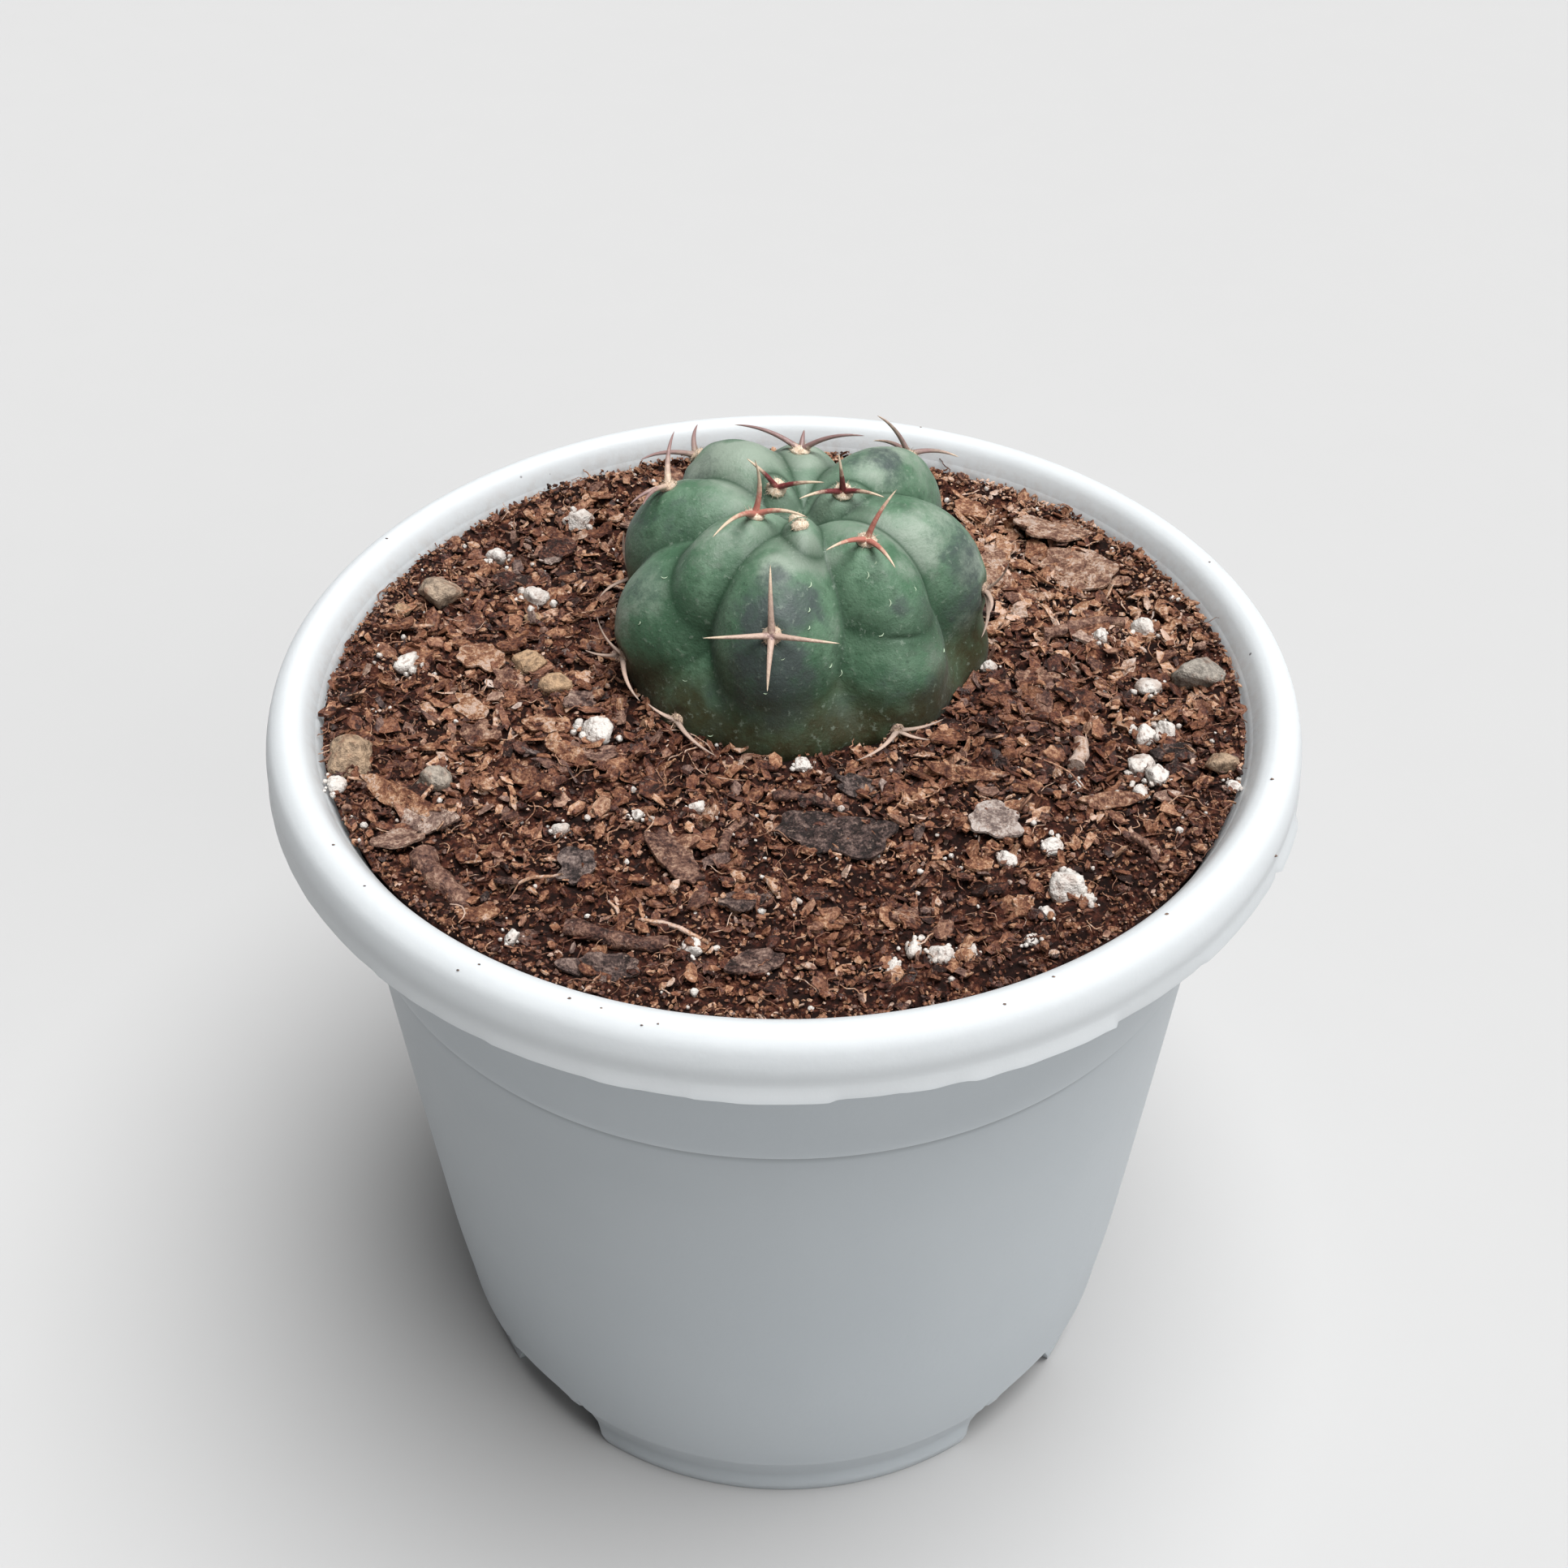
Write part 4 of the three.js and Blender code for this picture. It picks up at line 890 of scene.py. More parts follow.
def drill_drains(piece):
    """Cuts the drain holes through the floor with short cylinders, which are then removed."""
    centres = np.concatenate([np.zeros((1, 3)), outward(np.radians(QUARTERS)) * DRAIN_CIRCLE])
    for x, y, _ in centres * MM:
        bpy.ops.mesh.primitive_cylinder_add(
            vertices=40, radius=DRAIN_RADIUS * MM, depth=DRILL_DEPTH * MM, location=(x, y, DRILL_LEVEL * MM),
        )
        drill = bpy.context.object
        cut = piece.modifiers.new("drain", "BOOLEAN")
        cut.operation, cut.solver, cut.object = "DIFFERENCE", "EXACT", drill
        shaped = piece.evaluated_get(bpy.context.evaluated_depsgraph_get())
        cut_mesh = bpy.data.meshes.new_from_object(shaped)
        piece.modifiers.clear()
        piece.data = cut_mesh
        bpy.data.objects.remove(drill)


# The plant


def tubercle_frames():
    """Centres, inverse half-axes and half widths of the tubercles' ellipsoids. Each touches the
    dome (r / R)^p + (z / H)^p = 1 from inside, with its long way up the rib."""
    turn, climb, width, length, depth, stand = np.array(TUBERCLES, float).T
    angle, rise = np.radians(turn), np.radians(climb)
    reach = DOME_RADIUS * np.cos(rise) ** (2 / DOME_POWER)
    lift = DOME_HEIGHT * np.sign(rise) * np.abs(np.sin(rise)) ** (2 / DOME_POWER)
    slope_out = (reach / DOME_RADIUS) ** (DOME_POWER - 1) / DOME_RADIUS
    slope_up = np.sign(rise) * (np.abs(lift) / DOME_HEIGHT) ** (DOME_POWER - 1) / DOME_HEIGHT
    normal = unit(outward(angle) * slope_out[:, None] + UP * slope_up[:, None])
    across = rightward(angle)
    along = unit(np.cross(normal, across))
    centre = outward(angle) * reach[:, None] + UP * lift[:, None] + normal * (stand - depth)[:, None]
    axes = np.stack([across / width[:, None], along / length[:, None], normal / depth[:, None]], 1)
    return centre, axes, width


LOBES = list(zip(*tubercle_frames()))


def lobe_distances(points):
    """Rough distance of the points from each tubercle's surface, a row for each tubercle."""
    return np.stack([
        (np.linalg.norm((points - centre) @ axes.T, axis=-1) - 1) * width for centre, axes, width in LOBES
    ])


def skin_field(points):
    """Rough signed distance from the skin: -k log(sum of exp(-d / k)) over the tubercles, the
    core and the base, so that grooves are rounded over k, which grows towards the soil."""
    start, end = CREASE_FADE
    crease = between(CREASE_TOP, CREASE_FOOT, ease((start - points[..., 2]) / (start - end)))
    across = np.hypot(points[..., 0], points[..., 1])
    core = (np.hypot(across / CORE[0], points[..., 2] / CORE[1]) - 1) * CORE[1]
    base = (np.hypot(across / BASE[0], (points[..., 2] + BASE[2]) / BASE[1]) - 1) * BASE[1]
    distances = (core, base, *lobe_distances(points))
    return -crease * np.log(sum(np.exp(-np.clip(distance, -12, 30) / crease) for distance in distances))


def skin_distance(way):
    """Distance from the heart to the skin along unit vectors: steps inwards, then halving."""
    outside = np.full(way.shape[:-1], FARTHEST)
    reached = np.zeros(outside.shape, bool)
    for step in np.arange(FARTHEST - 1, NEAREST, -1.0):
        reached |= skin_field(way * step) < 0
        outside = np.where(reached, outside, step)
    inside = outside - 1
    for _ in range(11):
        middle = (inside + outside) / 2
        beyond = skin_field(way * middle[..., None]) > 0
        outside = np.where(beyond, middle, outside)
        inside = np.where(beyond, inside, middle)
    return (inside + outside) / 2


def direction(angle, rise):
    """Unit vectors at an angle round the plant and an angle up."""
    return outward(angle) * np.cos(rise)[..., None] + UP * np.sin(rise)[..., None]


def skin_frames(turn, climb):
    """Points on the skin, with the directions to the right, up the rib and out of it."""
    angle, rise = np.radians(np.asarray(turn, float)), np.radians(np.asarray(climb, float))
    way = direction(angle, rise)
    local = way * skin_distance(way)[..., None]
    step = 0.05 * np.eye(3)
    normal = unit(np.stack([skin_field(local + s) - skin_field(local - s) for s in step], -1))
    right = rightward(angle)
    right = unit(right - normal * np.sum(right * normal, -1, keepdims=True))
    return local + PLANT_HEART, right, np.cross(normal, right), normal


def patches(points, table, power=2):
    """The largest of the table's soft round patches at each point: strength times
    exp(-(distance / size)^power), with the edge pulled about by noise."""
    turn, climb, size, strength = np.array(table, float).T
    centres = skin_frames(turn, climb)[0]
    wobble = 1 + 0.32 * solid_noise(points, 3.1) + 0.22 * solid_noise(points, 1.3)
    found = np.zeros(points.shape[:-1])
    for centre, reach, most in zip(centres, size, strength):
        away = np.linalg.norm(points - centre, axis=-1) / (reach * wobble)
        found = np.maximum(found, most * np.exp(-(away**power)))
    return found


def plant_rows(above, below):
    """Angles up from the heart, even from the crown to the soil and wider below it."""
    seen = np.linspace(90, SOIL_RISE, above + 1)[1:]
    buried = np.linspace(SOIL_RISE, -90, below + 1)[1:-1]
    return np.radians(np.concatenate([seen, buried]))


def pressed(points):
    """How deep each point is pressed in by creases and by the hollows at the areoles."""
    depth = np.zeros(len(points))
    for start, end, most in SKIN_CREASES:
        a, b = skin_frames(*np.array([start, end]).T)[0]
        share = np.clip((points - a) @ (b - a) / np.dot(b - a, b - a), 0, 1)
        away = np.linalg.norm(points - (a + share[:, None] * (b - a)), axis=-1)
        depth += most * np.exp(-((away / CREASE_WIDTH) ** 2)) * np.sin(np.pi * (0.1 + 0.8 * share))
    turn, climb = np.array([areole[1:3] for areole in AREOLES], float).T
    for centre in skin_frames(turn, climb)[0]:
        away = np.linalg.norm(points - centre, axis=-1)
        ridge = RIDGE_HEIGHT * np.exp(-(((away - RIDGE_DISTANCE) / RIDGE_WIDTH) ** 2))
        depth += HOLLOW_DEPTH * np.exp(-((away / HOLLOW_WIDTH) ** 2)) - ridge
    return depth


def skin_surface(columns, above, below):
    """The plant's skin from the crown's pole to the pole under it, with slow unevenness and
    pressed places, and the numbers that its material reads."""
    rise = plant_rows(above, below)
    angle = np.arange(columns) / columns * 2 * np.pi
    rise, angle = (grid.ravel() for grid in np.meshgrid(rise, angle, indexing="ij"))
    rise = np.concatenate([[np.pi / 2], rise, [-np.pi / 2]])
    angle = np.concatenate([[0.0], angle, [0.0]])
    way = direction(angle, rise)
    local = way * skin_distance(way)[:, None]
    points = local + PLANT_HEART
    sway = layered(solid_noise, (points,), SKIN_SWAY)
    ahead = np.sort(lobe_distances(local), 0)[:2]
    groove = np.exp(-((ahead[1] - ahead[0]) / GROOVE_WIDTH)) * (0.35 + 0.65 * ease((points[:, 2] - 90) / 5))
    sway *= 1 - 0.7 * groove
    points = points + way * (sway - pressed(points))[:, None]
    height = points[:, 2]
    crown = np.exp(-((np.hypot(local[:, 0], local[:, 1]) / YOUNG_REACH) ** 2))
    young = crown * ease((height - YOUNG_START) / YOUNG_FADE)
    # The stain at the foot also paints the shade there
    stained_and_shaded = EARTH_AND_SHADE_TOP + 1.5 * solid_noise(points, 2.6) + 0.5 * solid_noise(points, 0.9)
    values = {
        "groove": groove,
        "blush_and_painted_shade": patches(points, BLUSHES_AND_PAINTED_SHADE, 4),
        "bloom_and_painted_light": patches(points, BLOOMS_AND_PAINTED_LIGHT, 3),
        "young": np.maximum(young, patches(points, YOUNG_SKIN)),
        "earth_and_painted_shade": ease((stained_and_shaded - height) / EARTH_AND_SHADE_FADE),
    }
    return points, closed_faces(above + below - 1, columns), values


def spine_paths(spines, turn, climb):
    """Centrelines from an areole: straight along each spine's heading, bowed away from the skin
    by arc x length x 4t(1 - t)."""
    origin, right, up, normal = (part[0] for part in skin_frames([turn], [climb]))
    clock, length, rise = np.array(spines, float).T
    clock, length, rise = np.radians(clock), SPINE_TRIM * length, np.radians(rise)
    heading = np.cos(clock)[:, None] * up + np.sin(clock)[:, None] * right
    along = np.cos(rise)[:, None] * heading + np.sin(rise)[:, None] * normal
    above = np.cos(rise)[:, None] * normal - np.sin(rise)[:, None] * heading
    share = np.linspace(0, 1, SPINE_STEPS)[None, :, None]
    straight = along[:, None] * length[:, None, None] * share
    bow = SPINE_ARC * length[:, None, None] * 4 * share * (1 - share)
    return origin + straight + bow * above[:, None]


def spine_radii(count, age):
    """Radii along spines: swollen at the foot, holding their width, tapered to a fine point."""
    share = np.linspace(0, 1, SPINE_STEPS)
    shape = (1 - share) ** 0.62 * (0.8 + 0.4 * np.exp(-share * 14)) + 0.03
    return np.repeat(SPINE_RADIUS[age] * shape[None], count, 0)


def lay_scars(look, random):
    """The small scars: flat bowed slivers that lie on the skin."""
    turn, climb, lean = np.array(SCARS, float).T
    origin, right, up, normal = skin_frames(turn, climb)
    lean = np.radians(lean)[:, None]
    along = np.cos(lean) * right + np.sin(lean) * up
    across = np.cross(normal, along)
    length = random.uniform(*SCAR_LENGTHS, (len(turn), 1))
    share = np.linspace(-1, 1, 9)[None, :, None]
    path = (origin + 0.01 * normal)[:, None] + along[:, None] * length[:, None] * share
    path = path + across[:, None] * SCAR_BOW * length[:, None] * share**2
    radius = SCAR_RADIUS * np.sqrt(np.maximum(1 - share[0, :, 0] ** 2, 0.02))
    points, faces = tubes(path, np.repeat(radius[None], len(turn), 0), sides=6, flat=0.6)
    cork = horn("scar_cork", [(0.0, look.scar), (1.0, shade(look.scar, 1.5))], 0.8)
    make_piece("skin_scars", points, faces, cork, values={"along": [0.5]})


def cushion(turn, climb, radius, height, random, hairs, reach=0.5):
    """A flattened lumpy ball on the skin, and hairs of about reach that lean out all round."""
    origin, right, up, normal = (part[0] for part in skin_frames([turn], [climb]))
    basis = np.stack([right, up, normal])
    centre = np.zeros((1, 3)) + random.uniform(0, 9, 3)
    pad, pad_faces = balls(centre, 1.0, rings=9, columns=16, lumps=0.14, cell=0.5)
    pad = (pad - pad.mean(1, keepdims=True)) * (radius, radius, height)
    swing = random.uniform(0, 2 * np.pi, hairs)
    lean = np.arccos(random.uniform(0.1, 1.0, hairs))
    ray = np.stack([np.cos(swing) * np.sin(lean), np.sin(swing) * np.sin(lean), np.cos(lean)], -1)
    foot = ray * (radius, radius, height) * 0.85
    reach = reach * random.uniform(0.6, 1.3, hairs)[:, None] * (0.6 + 0.4 * radius)
    bend = random.normal(0, 0.12, (hairs, 3))
    share = np.linspace(0, 1, 4)
    along = share[None, :, None]
    path = foot[:, None] + ray[:, None] * reach[:, None] * along + bend[:, None] * along**2
    thin = np.repeat(HAIR_RADIUS * (1.1 - share[None]), hairs, 0)
    hair, hair_faces = tubes(path, thin, sides=3)
    pad_count = pad.shape[1]
    faces = [*pad_faces, *(group + pad_count for group in repeated(hair_faces, hair.shape[1], hairs))]
    points = np.concatenate([pad.reshape(-1, 3), hair.reshape(-1, 3)])
    return origin + points @ basis, faces


# The fill


def mouth_radius(angle):
    """How far the plant reaches from its own axis where it enters the soil."""
    turns = np.radians(np.arange(-180, 181, 3.0))
    reach = skin_distance(direction(turns, np.full(turns.shape, math.radians(SOIL_RISE))))
    return np.interp(angle, turns, reach * math.cos(math.radians(SOIL_RISE)))


def from_plant(x, y):
    """Distance outside the plant at soil level."""
    away_x, away_y = x - PLANT_HEART[0], y - PLANT_HEART[1]
    return np.hypot(away_x, away_y) - mouth_radius(np.arctan2(away_x, -away_y))


def wall_limit(z):
    """How far out the fill may reach at a height."""
    heights, radii = np.array(WALL_INSIDE).T
    return np.interp(z, heights, radii) - CLEAR


def soil_height(x, y):
    """The soil's top: lumps in the open, calmer by the plant and by the wall."""
    plant = np.hypot(x - PLANT_HEART[0], y - PLANT_HEART[1])
    calm = ease((plant - 20) / 12) * (1 - 0.6 * ease((np.hypot(x, y) - 42) / 4.5))
    lumps = layered(flat_noise, (x, y), SOIL_LUMPS)
    heaped = 0.8 * ease((np.hypot(x, y) - 40) / 5)
    return SOIL_LEVEL + SOIL_RELIEF * calm * lumps + heaped


def soil_top(x, y):
    """The soil's top with its grain: finer noises on the lumps."""
    return soil_height(x, y) + layered(flat_noise, (x, y), SOIL_GRAIN)


def soil_bed(columns, rings):
    """The fill as rings: up the plant's socket, across the top, down the wall and under."""
    angle = np.arange(columns) / columns * 2 * np.pi
    socket = []
    for rise in np.radians(SOCKET_RISES):
        way = direction(angle, np.full(columns, rise))
        socket.append(PLANT_HEART + way * (skin_distance(way)[:, None] + SOCKET_CLEAR))
    start = PLANT_HEART[:2] + outward(angle)[:, :2] * (mouth_radius(wrapped(angle)) + 0.1)[:, None]
    end = outward(angle)[:, :2] * wall_limit(SOIL_LEVEL)
    share = np.linspace(0, 1, rings)[:, None, None]
    flat = start * (1 - share) + end * share
    top = np.concatenate([flat, soil_top(flat[..., 0], flat[..., 1])[..., None]], -1)
    side = [outward(angle) * wall_limit(z) + UP * z for z in BED_LEVELS]
    rows = np.concatenate([np.array(socket), top, np.array(side)])
    first = PLANT_HEART - UP * (skin_distance(-UP[None])[0] + SOCKET_CLEAR)
    points = np.concatenate([first[None], rows.reshape(-1, 3), [[0, 0, BED_BOTTOM]]])
    return points, closed_faces(len(rows), columns)


def strewn(count, random, margin=0.0):
    """Random places on the soil, evenly spread, clear of the plant by a margin."""
    angle = random.uniform(0, 2 * np.pi, 2 * count)
    reach = (wall_limit(SOIL_LEVEL) - 0.2) * np.sqrt(random.uniform(0, 1, 2 * count))
    x, y = reach * np.sin(angle), -reach * np.cos(angle)
    open_ground = from_plant(x, y) > margin
    return x[open_ground][:count], y[open_ground][:count]


def strewn_to_wall(count, one_in, random):
    """Places strewn on the soil, and more along the wall: one for every so many strewn."""
    x, y = strewn(count, random)
    angle = random.uniform(0, 2 * np.pi, count // one_in)
    reach = wall_limit(SOIL_LEVEL) - 0.1 - 1.1 * random.uniform(0, 1, len(angle)) ** 2
    return np.append(x, reach * np.sin(angle)), np.append(y, -reach * np.cos(angle))


def kept_in(points):
    """Points pushed in from the wall and out of the plant, where they would cross either."""
    limit = wall_limit(np.maximum(points[..., 2], SOIL_LEVEL - 1)) + 0.3
    reach = np.hypot(points[..., 0], points[..., 1])
    shrink = np.minimum(1, limit / np.maximum(reach, 1e-6))
    points[..., :2] *= shrink[..., None]
    away = points[..., :2] - PLANT_HEART[:2]
    distance = np.hypot(away[..., 0], away[..., 1])
    least = mouth_radius(np.arctan2(away[..., 0], -away[..., 1]))
    least = least + SKIN_LEAN * np.maximum(points[..., 2] - SOIL_LEVEL, 0)
    grow = np.maximum(1, least / np.maximum(distance, 1e-6))
    points[..., :2] = PLANT_HEART[:2] + away * grow[..., None]
    return points


def placed(points, x, y, lift):
    """Each piece moved to its place on the soil, raised by lift, and kept in the pot."""
    base = np.stack([x, y, soil_top(x, y) + lift], -1)
    return kept_in(points + base[:, None])


def tones_with_painted_light(x, y, random):
    """Tones for pieces at places on the soil: their own spread, slow patches, and painted light that
    makes them paler towards the back right."""
    own = random.normal(0.43, 0.19, len(x)) + 0.07 * random.standard_t(3, len(x)).clip(-3, 4)
    slow = layered(flat_noise, (x, y), DRY_PATCHES)
    # The lift towards the back right is painted light
    return np.clip(own + slow + 0.17 * ease((0.6 * x + 0.8 * y) / 45), 0.02, 1.0)


def coarseness(x, y):
    """Size of the pieces at a place, as a share: finer along the wall and in front."""
    return (1 - 0.45 * ease((np.hypot(x, y) - 42) / 4)) * (1 - 0.3 * ease((-y - 12) / 16))


def lay_strewn(name, points, faces, x, y, random, material, sharp):
    """One mesh of many pieces, each with its own tone and ashiness."""
    values = {"tone": tones_with_painted_light(x, y, random), "ash": 0.8 * random.beta(0.5, 3.0, len(x))}
    make_piece(name, points, faces, material, values=values, sharp=sharp)


def lay_chips(look, material, random):
    """Small jagged chips of bark, tilted every way."""
    x, y = strewn_to_wall(look.chips, 12, random)
    count = len(x)
    length = (0.42 + 1.7 * random.beta(1.1, 4.4, count)) * coarseness(x, y)
    width = length * random.uniform(0.22, 0.8, count)
    thick = random.uniform(0.12, 0.42, count)
    curl = random.uniform(-0.3, 0.3, count)
    points, faces = slabs(length, width, thick, curl, random, jag=0.24, rings=1, columns=6)
    points += 0.07 * length[:, None, None] * random.normal(0, 1, points.shape)
    points = placed(tumbled(points, 24, 26, random), x, y, random.uniform(-0.1, 0.75, count))
    lay_strewn("bark_chips", points, faces, x, y, random, material, sharp=22)


def lay_crumbs(look, material, random):
    """Crumbs: balls with few corners, knocked out of shape."""
    x, y = strewn_to_wall(look.crumbs, 8, random)
    count = len(x)
    radius = (0.09 + 0.38 * random.beta(1.1, 5.5, count))[:, None] * random.uniform(0.55, 1.4, (count, 3))
    centres = np.stack([x, y, soil_top(x, y) + random.uniform(-0.05, 0.6, count)], -1)
    points, faces = balls(centres, radius, rings=1, columns=5, lumps=0.5, cell=0.8)
    points += 0.3 * radius.mean(-1)[:, None, None] * random.normal(0, 0.5, points.shape)
    lay_strewn("bark_crumbs", kept_in(points), faces, x, y, random, material, sharp=22)


def lay_flakes(look, random):
    """Middling flakes of bark, which lie flatter than the chips."""
    x, y = strewn(look.flakes, random, 0.6)
    count = len(x)
    length = (0.9 + 1.7 * random.beta(1.2, 2.6, count)) * coarseness(x, y)
    width = length * random.uniform(0.35, 0.85, count)
    thick = random.uniform(0.2, 0.7, count)
    curl = random.normal(0, 0.12, count)
    points, faces = slabs(length, width, thick, curl, random, jag=0.2, rings=2, columns=14)
    points[..., 2] += 0.2 * solid_noise(points + x[:, None, None], 0.9)
    points = placed(tumbled(points, 13, 15, random), x, y, random.uniform(0.2, 0.8, count))
    lay_strewn("bark_flakes", points, faces, x, y, random, bark(look, "flake", 0.85, 0.0005, 0.3), sharp=35)


def lay_plates(look, random):
    """The large plates of bark, each in its place, with a wavy face."""
    x, y, length, width, turn, tip, roll, lift, curl, tone, ash = np.array(PLATES, float).T
    thick = np.full(len(x), PLATE_THICKNESS)
    points, faces = slabs(length, width, thick, curl, random, jag=0.2, rings=6, columns=44)
    waves = 0.14 * solid_noise(points + x[:, None, None], 1.3) + 0.08 * solid_noise(points + 7, 0.6)
    points[..., 2] += waves
    points = placed(turned(points, turn, tip, roll), x, y, lift)
    material = bark(look, "bark_plate", 0.75, 0.0007, 0.36)
    make_piece("bark_plates", points, faces, material, values={"tone": tone, "ash": ash}, sharp=50)


def lay_twigs(look):
    """The twigs: knotty tubes, thinner towards one end."""
    share = np.linspace(-0.5, 0.5, 14)
    x, y, length, radius, turn, tip, lift, tone = np.array(TWIGS, float).T
    path = np.zeros((len(x), len(share), 3))
    path[..., 0] = length[:, None] * share
    path[..., 1] = 0.06 * length[:, None] * np.sin(share * 5 + x[:, None])
    bulk = radius[:, None] * (1 + 0.12 * np.sin(share * 17 + y[:, None])) * (1 - 0.25 * share)
    points, faces = tubes(turned(path, turn, tip, 0 * turn), bulk, sides=12)
    points += 0.1 * solid_noise(points + x[:, None, None], 0.8)[..., None]
    points = placed(points, x, y, lift)
    material = bark(look, "twig_bark", 0.8, 0.0005, 0.3)
    make_piece("twigs", points, faces, material, values={"tone": tone, "ash": [0.35]}, sharp=50)


def lay_fibres(look, random):
    """The straws in their places and strewn coir fibres: bowed and wavy, half following the ground."""
    x, y, length, radius, turn, bow, lift, tone = np.array(STRAWS, float).T
    more_x, more_y = strewn(look.fibres, random, 0.4)
    count = len(more_x)
    x, y = np.append(x, more_x), np.append(y, more_y)
    length = np.append(length, 0.9 + 4.5 * random.beta(1.3, 3.5, count))
    radius = np.append(radius, random.uniform(0.035, 0.10, count))
    turn = np.append(turn, random.uniform(0, 360, count))
    bow = np.append(bow, random.normal(0, 0.5, count))
    lift = np.append(lift, random.uniform(0.3, 1.0, count))
    tone = np.append(tone, np.clip(random.normal(0.56, 0.18, count), 0.05, 1.0))
    wave = length * np.where(np.arange(len(x)) < len(STRAWS), 0.012, 0.05)
    share = np.linspace(-0.5, 0.5, 8)
    path = np.zeros((len(x), len(share), 3))
    path[..., 0] = length[:, None] * share
    path[..., 1] = bow[:, None] * (1 - 4 * share**2) + wave[:, None] * np.sin(share * 9 + x[:, None])
    path[..., 2] = wave[:, None] * np.sin(share * 6 + y[:, None])
    path = turned(path, turn, random.normal(0, 7, len(x)), 0 * turn)
    ground = soil_top(x[:, None] + path[..., 0], y[:, None] + path[..., 1]) - soil_top(x, y)[:, None]
    path[..., 2] += 0.5 * ground
    points, faces = tubes(path, radius[:, None] * (1 - 1.2 * share**2), sides=3)
    points = placed(points, x, y, lift)
    material = bark(look, "coir", 0.7, 0.0001)
    make_piece("coir_fibres", points, faces, material, values={"tone": tone, "ash": [0.2]})


def lay_perlite(look, random):
    """The large grains of perlite, crumbs round each of them and loose crumbs."""
    material = perlite_stone(look)
    x, y, radius = np.array(PERLITE, float).T
    centres = np.stack([x, y, soil_top(x, y) + 0.35 * radius], -1)
    size = radius[:, None] * random.uniform(0.85, 1.1, (len(x), 3)) * (1.0, 1.0, 0.85)
    points, faces = stones(centres, size, random, rings=15, columns=22, cuts=9, lumps=0.1)
    make_piece("perlite_grains", kept_in(points), faces, material)

    shape = (len(x), CRUMBS_A_GRAIN)
    swing = random.uniform(0, 2 * np.pi, shape)
    reach = radius[:, None] * random.uniform(0.75, 1.55, shape)
    crumb_x = (x[:, None] + reach * np.cos(swing)).ravel()
    crumb_y = (y[:, None] + reach * np.sin(swing)).ravel()
    crumb_radius = (radius[:, None] * random.uniform(0.12, 0.34, shape)).ravel()
    loose_x, loose_y = strewn(look.grains, random)
    crumb_x, crumb_y = np.append(crumb_x, loose_x), np.append(crumb_y, loose_y)
    crumb_radius = np.append(crumb_radius, 0.1 + 0.45 * random.beta(1.3, 4.0, len(loose_x)))
    centres = np.stack([crumb_x, crumb_y, soil_top(crumb_x, crumb_y) + 0.3 + 0.4 * crumb_radius], -1)
    points, faces = stones(centres, crumb_radius, random, rings=4, columns=7, cuts=6, lumps=0.12)
    make_piece("perlite_crumbs", kept_in(points), faces, material)


def lay_pebbles(look, random):
    """The pebbles: stones a little longer than they are tall."""
    x, y, radius, tone = np.array(PEBBLES, float).T
    centres = np.stack([x, y, soil_top(x, y) + 0.35 * radius], -1)
    size = radius[:, None] * (1.15, 1.0, 0.85)
    points, faces = stones(centres, size, random, rings=18, columns=28, cuts=11, lumps=0.07)
    make_piece("pebbles", kept_in(points), faces, pebble_stone(look), values={"tone": tone})


# What a user would change


def colour_property(name, description, default):
    return FloatVectorProperty(
        name=name, description=description, default=default, subtype="COLOR", min=0.0, max=1.0,
    )


def factor_property(name, description, default):
    return FloatProperty(
        name=name, description=description, default=default, subtype="FACTOR", min=0.0, max=1.0,
    )


def angle_property(name, description, degrees):
    return FloatProperty(
        name=name, description=description, default=math.radians(degrees), subtype="ANGLE", unit="ROTATION",
    )


def length_property(name, description, default):
    return FloatProperty(name=name, description=description, default=default, unit="LENGTH")


def strength_property(name, description, default):
    return FloatProperty(name=name, description=description, default=default, min=0.0)


def count_property(name, description, default):
    return IntProperty(name=name, description=description, default=default, min=1)


class PotLook(PropertyGroup):
    plastic: colour_property("Plastic", "Colour of the moulded plastic", (0.56, 0.585, 0.60))
    # The thin wall's colour also stands for painted shade on the wall below the rim
    thin: colour_property("Thin wall", "Colour where the mix shows faintly through", (0.44, 0.475, 0.50))
    dust: colour_property("Dust", "Colour of the soil dust inside the rim", (0.30, 0.19, 0.13))
    speck: colour_property("Specks", "Colour of the small dirt specks", (0.06, 0.05, 0.05))
    roughness: factor_property("Roughness", "Roughness of the plastic", 0.42)
    steps: count_property("Steps", "Steps of whole foot between an arch and its mirror line", 40)


